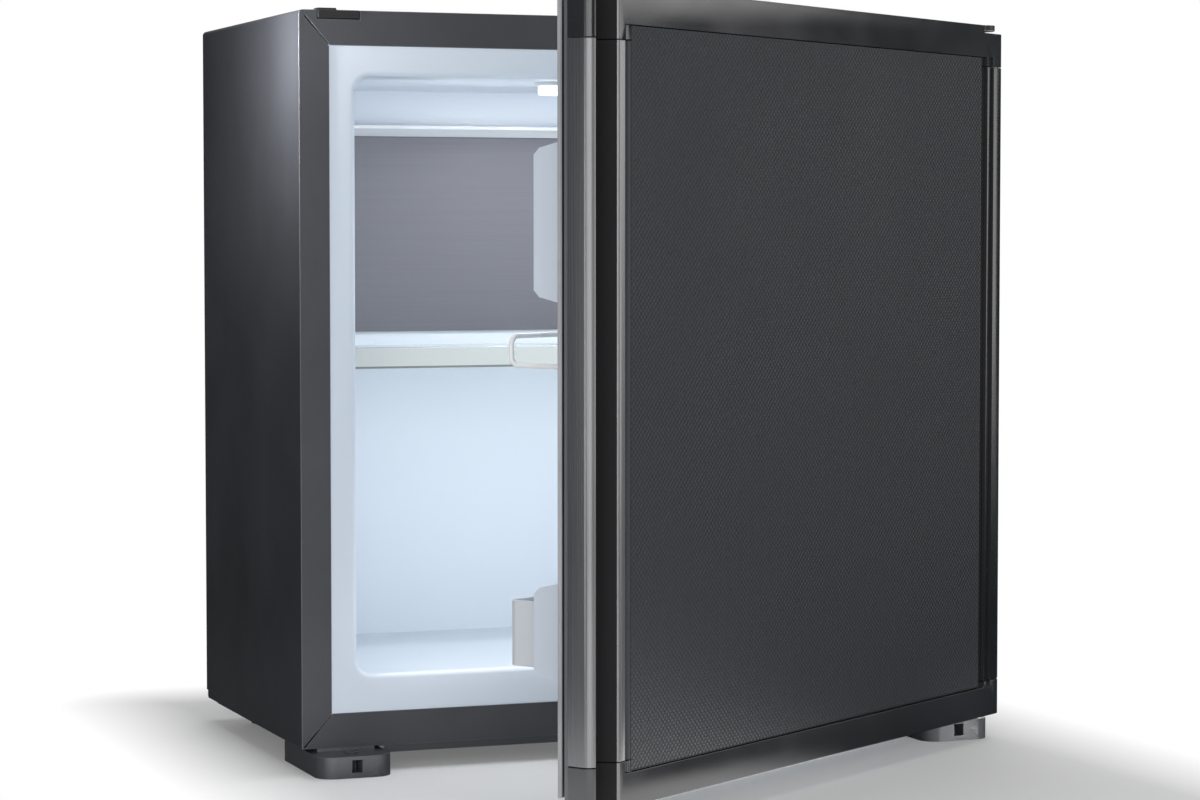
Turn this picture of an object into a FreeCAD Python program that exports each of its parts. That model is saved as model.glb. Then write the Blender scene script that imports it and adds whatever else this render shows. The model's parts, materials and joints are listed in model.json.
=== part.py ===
import FreeCAD, Part
import math
import os
import Sketcher
from types import SimpleNamespace
from FreeCAD import Placement, Rotation, Vector

# Small hotel fridge with a silent absorption unit, door hung on the right and standing open.
# Frame: origin on the floor, midway between the fixing holes of the two front feet.
# X points to the hinge side, Y to the back of the fridge, Z up. Millimetres and degrees.

DIMENSIONS = {
    # steel case
    "case_width": 420.0,
    "case_height": 407.0,
    "case_depth": 216.0,
    "sheet_gauge": 0.8,
    "case_bend": 2.5,
    "flange_side": 17.3,
    "flange_top": 19.3,
    "flange_bottom": 19.0,
    "mitre_gap": 0.5,
    "mitre_stop": 3.0,
    "tail_notch_length": 27.0,
    "tail_notch_height": 5.0,
    "base_lip": 12.0,
    "crossbar_height": 4.4,
    "crossbar_depth": 24.0,
    "crossbar_setback": 1.0,
    # hinge slots in the top corners
    "slot_edge": 10.5,
    "slot_width": 24.5,
    "slot_drop": 5.0,
    "slot_reach": 9.0,
    "slot_play": 0.3,
    "plug_tab_width": 11.0,
    "plug_tab_height": 1.2,
    # feet
    "foot_height": 14.0,
    "front_setback": 10.0,
    "foot_inset": 4.0,
    "foot_width": 43.0,
    "foot_reach": 21.0,
    "foot_tail": 55.0,
    "foot_lip_drop": 2.0,
    "foot_corner": 10.0,
    "recess_width": 6.0,
    "recess_depth": 13.0,
    "recess_floor": 3.0,
    "recess_height": 7.0,
    "fixing_hole_radius": 2.25,
    "driver_hole_radius": 3.4,
    "rear_foot_radius": 12.0,
    "rear_foot_inset_x": 34.0,
    "rear_foot_inset_y": 24.0,
    # liner and shelf
    "liner_wall": 1.5,
    "liner_tuck": 9.0,
    "side_wall": 32.5,
    "cavity_floor": 40.0,
    "cavity_drop": 36.0,
    "back_wall": 41.2,
    "cavity_corner": 9.0,
    "rim_round": 3.2,
    "ledge_width": 6.0,
    "ledge_height": 5.0,
    "shelf_height": 217.0,
    "shelf_front": 76.0,
    "shelf_back_gap": 4.0,
    "shelf_side_gap": 0.8,
    "glass_gauge": 4.0,
    "trim_height": 12.0,
    "trim_depth": 9.0,
    "trim_wall": 1.6,
    # cold plate and evaporator
    "plate_side_gap": 18.5,
    "plate_height": 118.0,
    "plate_top_drop": 64.0,
    "plate_gauge": 2.0,
    "plate_lip": 6.0,
    "plate_lip_height": 7.0,
    "plate_screw_inset": 12.0,
    "block_width": 110.0,
    "block_height": 44.0,
    "block_depth": 14.0,
    "tube_sink": 2.0,
    "window_margin": 14.0,
    "cover_margin": 12.0,
    "cover_gauge": 1.5,
    # ceiling lamp
    "lamp_length": 120.0,
    "lamp_width": 28.0,
    "lamp_base": 2.0,
    "lens_height": 5.0,
    "lens_wall": 1.2,
    "lens_inset": 2.0,
    "lamp_setback": 20.0,
    "board_gauge": 1.0,
    # door
    "door_open_angle": 34.0,
    "door_thickness": 25.0,
    "door_back_gap": 9.0,
    "door_gap_low": 0.5,
    "door_gap_top": 1.4,
    "door_liner_wall": 2.0,
    "panel_left": 35.2,
    "panel_right": 26.2,
    "panel_low": 18.2,
    "panel_top_drop": 20.4,
    "panel_gauge": 1.6,
    "panel_sink": 0.4,
    "panel_seam": 0.2,
    "handle_low": 24.2,
    "handle_top_drop": 27.8,
    "hinge_profile_low": 21.5,
    "hinge_profile_top_drop": 25.5,
    "cap_seam": 0.3,
    "groove_start": 5.0,
    "groove_end": 18.5,
    "groove_depth": 11.0,
    "rib_start": 24.0,
    "rib_end": 29.5,
    "ridge_round": 4.2,
    "ridge_inner_round": 0.7,
    "groove_round": 2.4,
    "hinge_side_round": 3.6,
    "hinge_back_round": 2.4,
    "profile_step": 1.6,
    "profile_bevel": 1.0,
    "panel_lip": 2.3,
    "panel_lip_bevel": 0.5,
    "hinge_groove_wide": 3.0,
    "hinge_groove_narrow": 2.0,
    "hinge_rib": 3.5,
    "plug_face": 8.0,
    "plug_left": 44.0,
    "plug_low": 50.0,
    "plug_top_drop": 47.0,
    "plug_corner": 10.0,
    "gasket_inset": 6.0,
    "gasket_width": 9.0,
    "gasket_hinge_inset": 8.5,
    "gasket_foot": 3.0,
    "gasket_foot_inset": 2.0,
    "gasket_clearance": 0.5,
    # hinges
    "hinge_inset": 11.0,
    "hinge_forward": 16.0,
    "hinge_plate_gauge": 3.5,
    "hinge_nose_radius": 8.0,
    "hinge_plate_tail": 58.0,
    "hinge_gap": 1.5,
    "hinge_notch_width": 23.0,
    "pin_radius": 2.5,
    "pin_reach": 12.0,
    "pin_clearance": 0.05,
    "bush_wall": 1.3,
    "bush_length": 14.0,
    # door racks
    "boss_width": 10.0,
    "boss_depth": 41.5,
    "boss_high_drop": 72.0,
    "boss_high_height": 86.0,
    "boss_low_low": 56.0,
    "boss_low_top": 112.0,
    "boss_draft": 7.0,
    "peg_radius": 3.0,
    "peg_length": 3.5,
    "peg_rise": 10.0,
    "bin_gap": 0.4,
    "bin_wall": 2.2,
    "bin_corner": 6.0,
    "upper_bin_rise": 7.0,
    "upper_bin_height": 46.0,
    "upper_bin_depth": 50.0,
    "rack_floor": 62.0,
    "rack_height": 34.0,
    "rack_depth": 66.0,
    "wire_radius": 1.4,
    "rail_inset": 12.0,
    "rail_depth": 64.5,
    "rail_drop": 32.0,
    "rail_rise": 15.0,
    "rail_bend": 5.0,
    # cooling unit behind the case
    "unit_plane": 44.0,
    "boiler_inset": 86.0,
    "boiler_radius": 33.0,
    "boiler_low": 88.0,
    "boiler_top_gap": 66.0,
    "boiler_skin": 1.0,
    "boiler_tube_radius": 11.0,
    "boiler_tube_below": 14.0,
    "boiler_tube_above": 24.0,
    "heater_radius": 6.5,
    "heater_offset": 18.5,
    "heater_length": 110.0,
    "heater_below": 10.0,
    "weld_gap": 0.2,
    "condenser_drop": 41.0,
    "condenser_radius": 7.0,
    "condenser_bend": 16.0,
    "fin_lead": 46.0,
    "fin_tail": 30.0,
    "fin_pitch": 7.5,
    "fin_gauge": 0.6,
    "fin_width": 58.0,
    "fin_height": 46.0,
    "hanger_lead": 10.0,
    "hanger_tail": 3.0,
    "hanger_lip": 6.0,
    "evaporator_radius": 6.5,
    "evaporator_rise": 20.0,
    "evaporator_x": 30.0,
    "evaporator_bend": 9.5,
    "union_reach": 26.0,
    "gas_tube_inset": 78.0,
    "gas_tube_radius": 11.0,
    "gas_bend": 24.0,
    "coil_radius": 9.0,
    "coil_lead": 46.0,
    "coil_tail": 28.0,
    "coil_front": 26.0,
    "coil_rear": 72.0,
    "coil_low": 104.0,
    "coil_pitch": 32.0,
    "coil_headroom": 40.0,
    "coil_end_gap": 1.0,
    "coil_bend": 18.0,
    "vessel_radius": 28.0,
    "vessel_z": 40.0,
    "vessel_lead": 32.0,
    "vessel_tail": 14.0,
    "vessel_round": 14.0,
    "solution_radius": 8.0,
    "solution_bend": 18.0,
    "cradle_gauge": 2.0,
    "cradle_foot": 18.0,
    "cradle_drop": 4.0,
    "cradle_inset_left": 40.0,
    "cradle_inset_right": 60.0,
    "hanger_height": 30.0,
    "strap_height": 16.0,
    # control box and mains inlet
    "box_inset": 6.0,
    "box_width": 50.0,
    "box_depth": 48.0,
    "box_low": 24.0,
    "box_height": 112.0,
    "box_wall": 2.0,
    "lid_gauge": 2.5,
    "inlet_width": 28.0,
    "inlet_height": 22.0,
    "inlet_depth": 16.0,
    "blade_spread": 7.0,
    "blade_gauge": 2.0,
    "blade_height": 4.0,
    # screws
    "screw_head_radius": 3.6,
    "screw_head_height": 2.0,
    "screw_radius": 1.6,
    "screw_hole_radius": 1.8,
    "screw_length": 9.0,
    "back_screw_edge": 12.0,
    "back_screw_end": 18.0,
    "box_screw_gap": 6.0,
    "foot_screw_setback": 32.0,
    "foot_screw_spread": 12.0,
}


class Size:
    """A length with both its number and the spreadsheet formula that gives it."""

    def __init__(self, value, formula):
        self.value = float(value)
        self.formula = formula

    def __float__(self):
        return self.value

    def __add__(self, other):
        other = as_size(other)
        return Size(self.value + other.value, f"({self.formula} + {other.formula})")

    def __sub__(self, other):
        other = as_size(other)
        return Size(self.value - other.value, f"({self.formula} - {other.formula})")

    def __mul__(self, other):
        other = as_size(other)
        return Size(self.value * other.value, f"({self.formula} * {other.formula})")

    def __truediv__(self, other):
        other = as_size(other)
        return Size(self.value / other.value, f"({self.formula} / {other.formula})")

    def __neg__(self):
        return as_size(0) - self

    def __radd__(self, other):
        return as_size(other) + self

    def __rsub__(self, other):
        return as_size(other) - self

    def __rmul__(self, other):
        return as_size(other) * self


def as_size(value):
    if isinstance(value, Size):
        return value
    return Size(value, f"({float(value)})")


doc = FreeCAD.newDocument("MinibarFridge")
sheet = doc.addObject("Spreadsheet::Sheet", "Dims")
for row, (alias, number) in enumerate(DIMENSIONS.items(), start=1):
    sheet.set(f"A{row}", alias)
    sheet.set(f"B{row}", str(number))
    sheet.setAlias(f"B{row}", alias)
doc.recompute()
d = SimpleNamespace(**{a: Size(v, f"Dims.{a}") for a, v in DIMENSIONS.items()})

nodes = {}


def bind(feature, path, size):
    feature.setExpression(path, as_size(size).formula)


def point(*coordinates):
    return Vector(*[float(c) for c in coordinates])


def pin_point(sketch, geometry, end, u, v):
    """Ties one point of a sketch to the sketch origin by two formulas."""
    for kind, size in (("DistanceX", as_size(u)), ("DistanceY", as_size(v))):
        place = sketch.addConstraint(Sketcher.Constraint(kind, -1, 1, geometry, end, size.value))
        sketch.renameConstraint(place, f"{kind}{geometry}")
        sketch.setExpression(f"Constraints.{kind}{geometry}", size.formula)


def draw_outline(sketch, corners):
    """A closed outline of straight lines through the corners."""
    first = sketch.GeometryCount
    count = len(corners)
    for (u1, v1), (u2, v2) in zip(corners, corners[1:] + corners[:1]):
        sketch.addGeometry(Part.LineSegment(point(u1, v1, 0), point(u2, v2, 0)))
    for i, (u, v) in enumerate(corners):
        following = first + (i + 1) % count
        sketch.addConstraint(Sketcher.Constraint("Coincident", first + i, 2, following, 1))
        pin_point(sketch, first + i, 1, u, v)


SKETCH_PLANES = {"XY": ("XY_Plane", 1), "XZ": ("XZ_Plane", -1), "YZ": ("YZ_Plane", 1)}
SKETCH_AXES = {"XY": ("x", "y", "z"), "XZ": ("x", "z", "y"), "YZ": ("y", "z", "x")}


def edges_at(shape, plane, corners):
    """Names of the straight edges that run across the sketch plane at the given corners."""
    across, up, along = SKETCH_AXES[plane]
    found = []
    for number, edge in enumerate(shape.Edges, start=1):
        ends = [v.Point for v in edge.Vertexes]
        if len(ends) < 2 or abs(getattr(ends[0], along) - getattr(ends[1], along)) < 1e-6:
            continue
        for u, v in corners:
            if all(
                abs(getattr(p, across) - float(u)) < 1e-4 and abs(getattr(p, up) - float(v)) < 1e-4
                for p in ends
            ):
                found.append(f"Edge{number}")
    if len(found) != len(corners):
        raise RuntimeError(f"{len(found)} edges found for {len(corners)} corners")
    return found


def prism(name, plane, start, length, *outlines, rounds=()):
    """A padded sketch. Outlines lie in one origin plane, and rounds lists (radius, corners)."""
    body = doc.addObject("PartDesign::Body", name)
    sketch = body.newObject("Sketcher::SketchObject", name + "Sketch")
    role, sense = SKETCH_PLANES[plane]
    support = next(f for f in body.Origin.OriginFeatures if f.Role == role)
    sketch.AttachmentSupport = [(support, "")]
    sketch.MapMode = "FlatFace"
    bind(sketch, "AttachmentOffset.Base.z", as_size(start) * sense)
    for outline in outlines:
        draw_outline(sketch, outline)
    feature = body.newObject("PartDesign::Pad", name + "Pad")
    feature.Profile = sketch
    bind(feature, "Length", length)
    feature.Reversed = sense < 0
    for count, (radius, corners) in enumerate(rounds, start=1):
        doc.recompute()
        fillet = body.newObject("PartDesign::Fillet", f"{name}Round{count}")
        fillet.Base = (feature, edges_at(feature.Shape, plane, corners))
        bind(fillet, "Radius", radius)
        feature = fillet
    return body


def block(name, x, y, z):
    """A plain block between two faces on each axis."""
    box = doc.addObject("Part::Box", name)
    for side_name, axis, (low, high) in zip(("Length", "Width", "Height"), "xyz", (x, y, z)):
        bind(box, side_name, as_size(high) - low)
        bind(box, "Placement.Base." + axis, low)
    return box


TURNS = {
    "z": Rotation(),
    "x": Rotation(Vector(0, 1, 0), 90),
    "y": Rotation(Vector(1, 0, 0), -90),
}


def rod(name, axis, start, length, radius):
    """A cylinder from a start point along one axis."""
    cylinder = doc.addObject("Part::Cylinder", name)
    cylinder.Placement = Placement(Vector(), TURNS[axis])
    bind(cylinder, "Radius", radius)
    bind(cylinder, "Height", length)
    for letter, place in zip("xyz", start):
        bind(cylinder, "Placement.Base." + letter, place)
    return cylinder


def joined(name, *shapes):
    fusion = doc.addObject("Part::MultiFuse", name)
    fusion.Shapes = list(shapes)
    fusion.Refine = True
    return fusion


def group(name, *shapes):
    """Several separate solids kept as one piece."""
    compound = doc.addObject("Part::Compound", name)
    compound.Links = list(shapes)
    return compound


def minus(name, base, *tools):
    cut = doc.addObject("Part::Cut", name)
    cut.Base = base
    cut.Tool = tools[0] if len(tools) == 1 else joined(name + "Tools", *tools)
    cut.Refine = True
    return cut


def rectangle(left, right, low, high):
    return [(left, low), (right, low), (right, high), (left, high)]


def face_at(solid, place):
    """The face of a solid whose middle lies at a place."""
    return min(solid.Faces, key=lambda face: (face.CenterOfMass - place).Length)


def routed_tube(name, points, radius, bend):
    """A round bar along straight runs through the points, joined by tangent bends, as one solid."""
    corners = [point(*p) for p in points]
    radius, bend = float(radius), float(bend)
    begin = corners[0]
    tip = Part.Face(Part.Wire(Part.Circle(begin, corners[1] - begin, radius).toShape()))
    skin = []
    length = 0.0

    def add(piece, from_place, to_place):
        """Takes the side of a run or bend, whose ends are shared with its neighbours."""
        ends = [face_at(piece, from_place), face_at(piece, to_place)]
        skin.extend(f for f in piece.Faces if not any(f.isSame(e) for e in ends))
        return ends

    caps = []
    for before, corner, after in zip(corners, corners[1:], corners[2:]):
        back = (before - corner).normalize()
        ahead = (after - corner).normalize()
        half = back.getAngle(ahead) / 2
        end = corner + back * (bend / math.tan(half))
        if (end - begin).dot(back) > 0:
            raise RuntimeError(f"{name} has no room for its bend")
        first, tip = add(tip.extrude(end - begin), begin, end)
        caps.append(first)
        centre = corner + (back + ahead).normalize() * (bend / math.sin(half))
        sweep = math.pi - 2 * half
        turned = tip.revolve(centre, ahead.cross(back), math.degrees(sweep))
        length += (end - begin).Length + bend * sweep
        begin = corner + ahead * (bend / math.tan(half))
        tip = add(turned, end, begin)[1]
    last = corners[-1] - begin
    final = add(tip.extrude(last), begin, corners[-1])[1]
    length += last.Length
    tube = doc.addObject("Part::Feature", name)
    tube.Shape = Part.Solid(Part.Shell([caps[0], *skin, final]))
    if abs(tube.Shape.Volume / (math.pi * radius**2 * length) - 1) > 0.001:
        raise RuntimeError(f"{name} does not have the volume of its route")
    return tube


def keep(label, feature):
    """Registers a finished piece under the name of its file."""
    feature.Label = label
    nodes[label] = feature
    return feature


def screw(name, axis, seat, sense=1):
    """A pan head standing on its seat, with the shank going the other way."""
    stems = {"x": (1, 0, 0), "y": (0, 1, 0), "z": (0, 0, 1)}[axis]
    low = [p - s * (d.screw_length if sense > 0 else d.screw_head_height) for p, s in zip(seat, stems)]
    shank_start = [p - s * (d.screw_length if sense > 0 else as_size(0)) for p, s in zip(seat, stems)]
    head_start = seat if sense > 0 else low
    return joined(
        name,
        rod(name + "Head", axis, head_start, d.screw_head_height, d.screw_head_radius),
        rod(name + "Shank", axis, shank_start, d.screw_length, d.screw_radius),
    )


def screw_hole(name, axis, seat, sense=1):
    """Clearance for a shank, from a little outside its seat to past its tip."""
    reach = d.screw_length + d.screw_head_height
    stems = {"x": (1, 0, 0), "y": (0, 1, 0), "z": (0, 0, 1)}[axis]
    back_off = d.screw_length + 1 if sense > 0 else as_size(1)
    start = [p - s * back_off for p, s in zip(seat, stems)]
    return rod(name, axis, start, reach, d.screw_hole_radius)


# Main planes of the case
front = d.front_setback
back = front + d.case_depth
under = d.foot_height
top = under + d.case_height
side = d.case_width / 2
gauge = d.sheet_gauge
flange_x = side - d.flange_side
flange_top = top - d.flange_top
flange_low = under + d.flange_bottom
slot_out = side - d.slot_edge
slot_in = slot_out - d.slot_width

# Cavity of the liner
cavity_x = side - d.side_wall
cavity_low = under + d.cavity_floor
cavity_top = top - d.cavity_drop
liner_front = front + gauge
cavity_back = back - d.back_wall
cavity_depth = cavity_back - liner_front

# Hinge axis and the open door
hinge_x = side - d.hinge_inset
hinge_y = front - d.hinge_forward
swing = Placement(
    Vector(),
    Rotation(Vector(0, 0, 1), float(d.door_open_angle)),
    point(hinge_x, hinge_y, 0),
)


def both_sides(make):
    """One piece at the left and one at the right."""
    return [make("Left", -1), make("Right", 1)]


def span(sign, inner, outer):
    """Low and high X of a strip that lies between two distances from the middle."""
    return (inner, outer) if sign > 0 else (-outer, -inner)


# Screw places: behind the case and clear of the control box, on the cold plate and under the feet
box_z0 = under + d.box_low
box_z1 = box_z0 + d.box_height
screw_row_2 = box_z1 + d.box_screw_gap
screw_row_4 = top - d.back_screw_end
back_screw_rows = [
    under + d.back_screw_end,
    screw_row_2,
    (screw_row_2 + screw_row_4) / 2,
    screw_row_4,
]
back_screw_seats = [
    (sign * (side - d.back_screw_edge), back, row)
    for sign in (-1, 1)
    for row in back_screw_rows
]
plate_top = top - d.plate_top_drop
plate_low = plate_top - d.plate_height
plate_face = cavity_back - d.plate_gauge
plate_x = cavity_x - d.plate_side_gap
plate_screw_seats = [
    (sign * (plate_x - d.plate_screw_inset), plate_face, height)
    for sign in (-1, 1)
    for height in (plate_low + d.plate_screw_inset, plate_top - d.plate_screw_inset)
]
foot_x = side - d.foot_inset - d.foot_width / 2
foot_screw_seats = [
    (
        sign * foot_x + side_step * d.foot_screw_spread,
        front + d.foot_screw_setback,
        d.recess_floor + d.screw_head_height,
    )
    for sign in (-1, 1)
    for side_step in (-1, 1)
]


def holes(prefix, axis, seats, sense):
    return [screw_hole(f"{prefix}{i}", axis, seat, sense) for i, seat in enumerate(seats)]


def screws(prefix, axis, seats, sense):
    return [screw(f"{prefix}{i}", axis, seat, sense) for i, seat in enumerate(seats)]


# Case shell: one sheet folded over the top and both sides, with a mitred front flange
case_wrap = prism(
    "CaseWrap",
    "XZ",
    front,
    d.case_depth,
    [
        (-side, under),
        (-side, top),
        (side, top),
        (side, under),
        (side - gauge, under),
        (side - gauge, top - gauge),
        (gauge - side, top - gauge),
        (gauge - side, under),
    ],
    rounds=[
        (d.case_bend, [(-side, top), (side, top)]),
        (d.case_bend - gauge, [(gauge - side, top - gauge), (side - gauge, top - gauge)]),
    ],
)
case_flange = prism(
    "CaseFlange",
    "XZ",
    front,
    gauge,
    [
        (-side, under),
        (-side, top),
        (side, top),
        (side, under),
        (flange_x, flange_low),
        (flange_x, flange_top),
        (-flange_x, flange_top),
        (-flange_x, flange_low),
    ],
    rounds=[(d.case_bend, [(-side, top), (side, top)])],
)


def mitre_slit(name, sign):
    gap, stop = d.mitre_gap, d.mitre_stop
    outline = [
        (sign * (flange_x - gap), flange_top),
        (sign * flange_x, flange_top - gap),
        (sign * (side - stop), top - stop - gap),
        (sign * (side - stop - gap), top - stop),
    ]
    return prism("Mitre" + name, "XZ", front - 1, gauge + 2, outline)


def hinge_slot(name, sign):
    return block(
        "HingeSlot" + name,
        span(sign, slot_in, slot_out),
        (front - 1, front + d.slot_reach),
        (top - d.slot_drop, top + 1),
    )


def tail_notch(name, sign):
    return block(
        "TailNotch" + name,
        span(sign, side - gauge - 1, side + 1),
        (back - d.tail_notch_length, back + 1),
        (under - 1, under + d.tail_notch_height),
    )


keep(
    "case_shell",
    minus(
        "CaseShell",
        joined("CaseFolded", case_wrap, case_flange),
        *both_sides(mitre_slit),
        *both_sides(hinge_slot),
        *both_sides(tail_notch),
    ),
)

# Base panel: floor sheet with the lower flange and two upright lips
base_flange_x = side - gauge - d.mitre_gap
base_flange = prism(
    "BaseFlange",
    "XZ",
    front,
    gauge,
    [
        (-base_flange_x, under),
        (base_flange_x, under),
        (flange_x - d.mitre_gap, flange_low),
        (d.mitre_gap - flange_x, flange_low),
    ],
)
base_plate = block(
    "BasePlate", (gauge - side, side - gauge), (front, back - gauge), (under, under + gauge)
)


def base_lip(name, sign):
    return block(
        "BaseLip" + name,
        span(sign, side - gauge * 2, side - gauge),
        (front + d.flange_side, back - gauge),
        (under, under + d.base_lip),
    )


keep(
    "base_panel",
    minus(
        "BasePanel",
        joined("BaseFolded", base_plate, base_flange, *both_sides(base_lip)),
        *holes("BaseHole", "z", foot_screw_seats, -1),
    ),
)

# Crossbar: folded channel under the front edge, between the feet
bar_front = front + d.crossbar_setback
bar_back = bar_front + d.crossbar_depth
bar_low = under - d.crossbar_height
bar_x = side - d.foot_inset - d.foot_width - d.bin_gap
keep(
    "base_crossbar",
    prism(
        "BaseCrossbar",
        "YZ",
        -bar_x,
        bar_x * 2,
        [
            (bar_front, under),
            (bar_front, bar_low),
            (bar_front + gauge, bar_low),
            (bar_front + gauge, under - gauge),
            (bar_back - gauge, under - gauge),
            (bar_back - gauge, bar_low),
            (bar_back, bar_low),
            (bar_back, under),
        ],
    ),
)

# Back panel, with the window through which the evaporator goes in
block_z = plate_top - d.window_margin * 2
window_x = d.block_width / 2 + d.window_margin
window_low = block_z - d.block_height - d.window_margin
window_top = block_z + d.window_margin
back_outline = rectangle(gauge - side, side - gauge, under + gauge, top - gauge)
back_sheet = prism(
    "BackSheet", "XZ", back - gauge, gauge, back_outline, rounds=[(d.case_bend, back_outline[2:])]
)
back_window = block(
    "BackWindow", (-window_x, window_x), (back - gauge - 1, back + 1), (window_low, window_top)
)
keep(
    "back_panel",
    minus("BackPanel", back_sheet, back_window, *holes("BackHole", "y", back_screw_seats, 1)),
)

# Liner: thin white moulding with rounded corners, a front flange and two shelf ledges
liner_wall = d.liner_wall
shelf_top = under + d.shelf_height
ledge_top = shelf_top - d.glass_gauge
shelf_y = front + d.shelf_front


def cavity_outline(grow):
    return rectangle(-cavity_x - grow, cavity_x + grow, cavity_low - grow, cavity_top + grow)


def cavity_prism(name, start, length, grow):
    outline = cavity_outline(grow)
    return prism(name, "XZ", start, length, outline, rounds=[(d.cavity_corner + grow, outline)])


liner_tub = cavity_prism("LinerTub", liner_front, cavity_depth + liner_wall, liner_wall)
liner_flange = prism(
    "LinerFlange",
    "XZ",
    liner_front,
    liner_wall,
    rectangle(
        -flange_x - d.liner_tuck,
        flange_x + d.liner_tuck,
        flange_low - d.liner_tuck,
        flange_top + d.liner_tuck,
    ),
)
liner_hollow = cavity_prism("LinerHollow", liner_front - 1, cavity_depth + 1, as_size(0))


def shelf_ledge(name, sign):
    return block(
        "ShelfLedge" + name,
        span(sign, cavity_x - d.ledge_width, cavity_x + liner_wall / 2),
        (shelf_y, cavity_back + liner_wall / 2),
        (ledge_top - d.ledge_height, ledge_top),
    )


evaporator_window = block(
    "EvaporatorWindow",
    (-d.block_width / 2 - d.weld_gap, d.block_width / 2 + d.weld_gap),
    (cavity_back - 1, cavity_back + liner_wall + 1),
    (block_z - d.block_height - d.weld_gap, block_z + d.weld_gap),
)
liner_raw = joined(
    "LinerWithLedges",
    minus("LinerOpen", joined("LinerClosed", liner_tub, liner_flange), liner_hollow),
    *both_sides(shelf_ledge),
)
liner_cut = minus(
    "LinerCut", liner_raw, evaporator_window, *holes("LinerHole", "y", plate_screw_seats, -1)
)
doc.recompute()
liner_rim = doc.addObject("Part::Fillet", "LinerRim")
liner_rim.Base = liner_cut
rim_edges = [
    (number, float(d.rim_round), float(d.rim_round))
    for number, edge in enumerate(liner_cut.Shape.Edges, start=1)
    if all(abs(v.Y - float(liner_front)) < 1e-6 for v in edge.Vertexes)
    and abs(edge.CenterOfMass.y - float(liner_front)) < 1e-6
    and abs(edge.CenterOfMass.x) < float(cavity_x) + 1e-3
    and float(cavity_low) - 1e-3 < edge.CenterOfMass.z < float(cavity_top) + 1e-3
]
liner_rim.Edges = rim_edges
keep("inner_liner", liner_rim)

# Foam between the case and the liner
foam_outline = rectangle(gauge * 2 - side, side - gauge * 2, under + gauge, top - gauge)
foam_front = liner_front + liner_wall
foam_outer = prism(
    "FoamOuter",
    "XZ",
    foam_front,
    back - gauge - foam_front,
    foam_outline,
    rounds=[(d.case_bend, foam_outline[2:])],
)
foam_hollow = cavity_prism(
    "FoamHollow", liner_front, cavity_depth + liner_wall, liner_wall
)
foam_window = block(
    "FoamWindow", (-window_x, window_x), (cavity_back, back), (window_low, window_top)
)


def slot_pocket(name, sign):
    """Room in the foam for the hinge plate or the plug."""
    return block(
        "SlotPocket" + name,
        span(sign, slot_in - d.slot_play, side - gauge),
        (front, front + d.hinge_plate_tail + d.slot_play),
        (top - d.slot_drop - d.slot_play, top),
    )


keep(
    "case_insulation",
    minus(
        "CaseInsulation",
        foam_outer,
        foam_hollow,
        foam_window,
        *both_sides(slot_pocket),
        *holes("FoamBackHole", "y", back_screw_seats, 1),
        *holes("FoamPlateHole", "y", plate_screw_seats, -1),
        *holes("FoamFootHole", "z", foot_screw_seats, -1),
    ),
)

# Cold plate on the back wall, folded forward along its top
plate_sheet = block(
    "PlateSheet",
    (-plate_x, plate_x),
    (plate_face, cavity_back),
    (plate_low, plate_top),
)
plate_lip = prism(
    "PlateLip",
    "YZ",
    -plate_x,
    plate_x * 2,
    [
        (cavity_back, plate_top),
        (plate_face, plate_top),
        (plate_face - d.plate_lip, plate_top + d.plate_lip_height - d.plate_gauge),
        (plate_face - d.plate_lip, plate_top + d.plate_lip_height),
        (cavity_back, plate_top + d.plate_gauge),
    ],
)
keep(
    "cold_plate",
    minus(
        "ColdPlate",
        joined("PlateFolded", plate_sheet, plate_lip),
        *holes("PlateHole", "y", plate_screw_seats, -1),
    ),
)
keep("cold_plate_screws", group("ColdPlateScrews", *screws("PlateScrew", "y", plate_screw_seats, -1)))

# Evaporator: bent tube clamped in a block that reaches the cold plate through the liner
unit_y = back + d.unit_plane
tube_y = cavity_back + d.block_depth - d.tube_sink
evaporator_top = block_z - (d.block_height - d.evaporator_rise) / 2
evaporator_low = evaporator_top - d.evaporator_rise
evaporator_end = d.block_width / 2 - d.evaporator_radius * 2
union_x = d.evaporator_x + d.union_reach
evaporator_route = [
    (union_x, unit_y, evaporator_top),
    (d.evaporator_x, unit_y, evaporator_top),
    (d.evaporator_x, tube_y, evaporator_top),
    (-evaporator_end, tube_y, evaporator_top),
    (-evaporator_end, tube_y, evaporator_low),
    (d.evaporator_x, tube_y, evaporator_low),
    (d.evaporator_x, unit_y, evaporator_low),
    (union_x, unit_y, evaporator_low),
]
evaporator_tube = routed_tube(
    "EvaporatorTube", evaporator_route, d.evaporator_radius, d.evaporator_bend
)
evaporator_groove = routed_tube(
    "EvaporatorGroove", evaporator_route, d.evaporator_radius + d.weld_gap, d.evaporator_bend
)
keep("evaporator_tube", evaporator_tube)
block_body = block(
    "BlockBody",
    (-d.block_width / 2, d.block_width / 2),
    (cavity_back, cavity_back + d.block_depth),
    (block_z - d.block_height, block_z),
)
keep("evaporator_block", minus("EvaporatorBlock", block_body, evaporator_groove))
cover_sheet = block(
    "CoverSheet",
    (-window_x - d.cover_margin, window_x + d.cover_margin),
    (back, back + d.cover_gauge),
    (window_low - d.cover_margin, window_top + d.cover_margin),
)
keep("evaporator_cover", minus("EvaporatorCover", cover_sheet, evaporator_groove))

# Ceiling lamp: base, circuit board and a hollow lens
lamp_x = d.lamp_length / 2
lamp_front = front + d.lamp_setback
lamp_back = lamp_front + d.lamp_width
lamp_low = cavity_top - d.lamp_base


def lamp_outline(inset):
    return rectangle(inset - lamp_x, lamp_x - inset, lamp_front + inset, lamp_back - inset)


def lamp_prism(name, start, length, inset):
    outline = lamp_outline(inset)
    radius = d.lamp_width / 2 - inset - d.weld_gap
    return prism(name, "XY", start, length, outline, rounds=[(radius, outline)])


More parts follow.
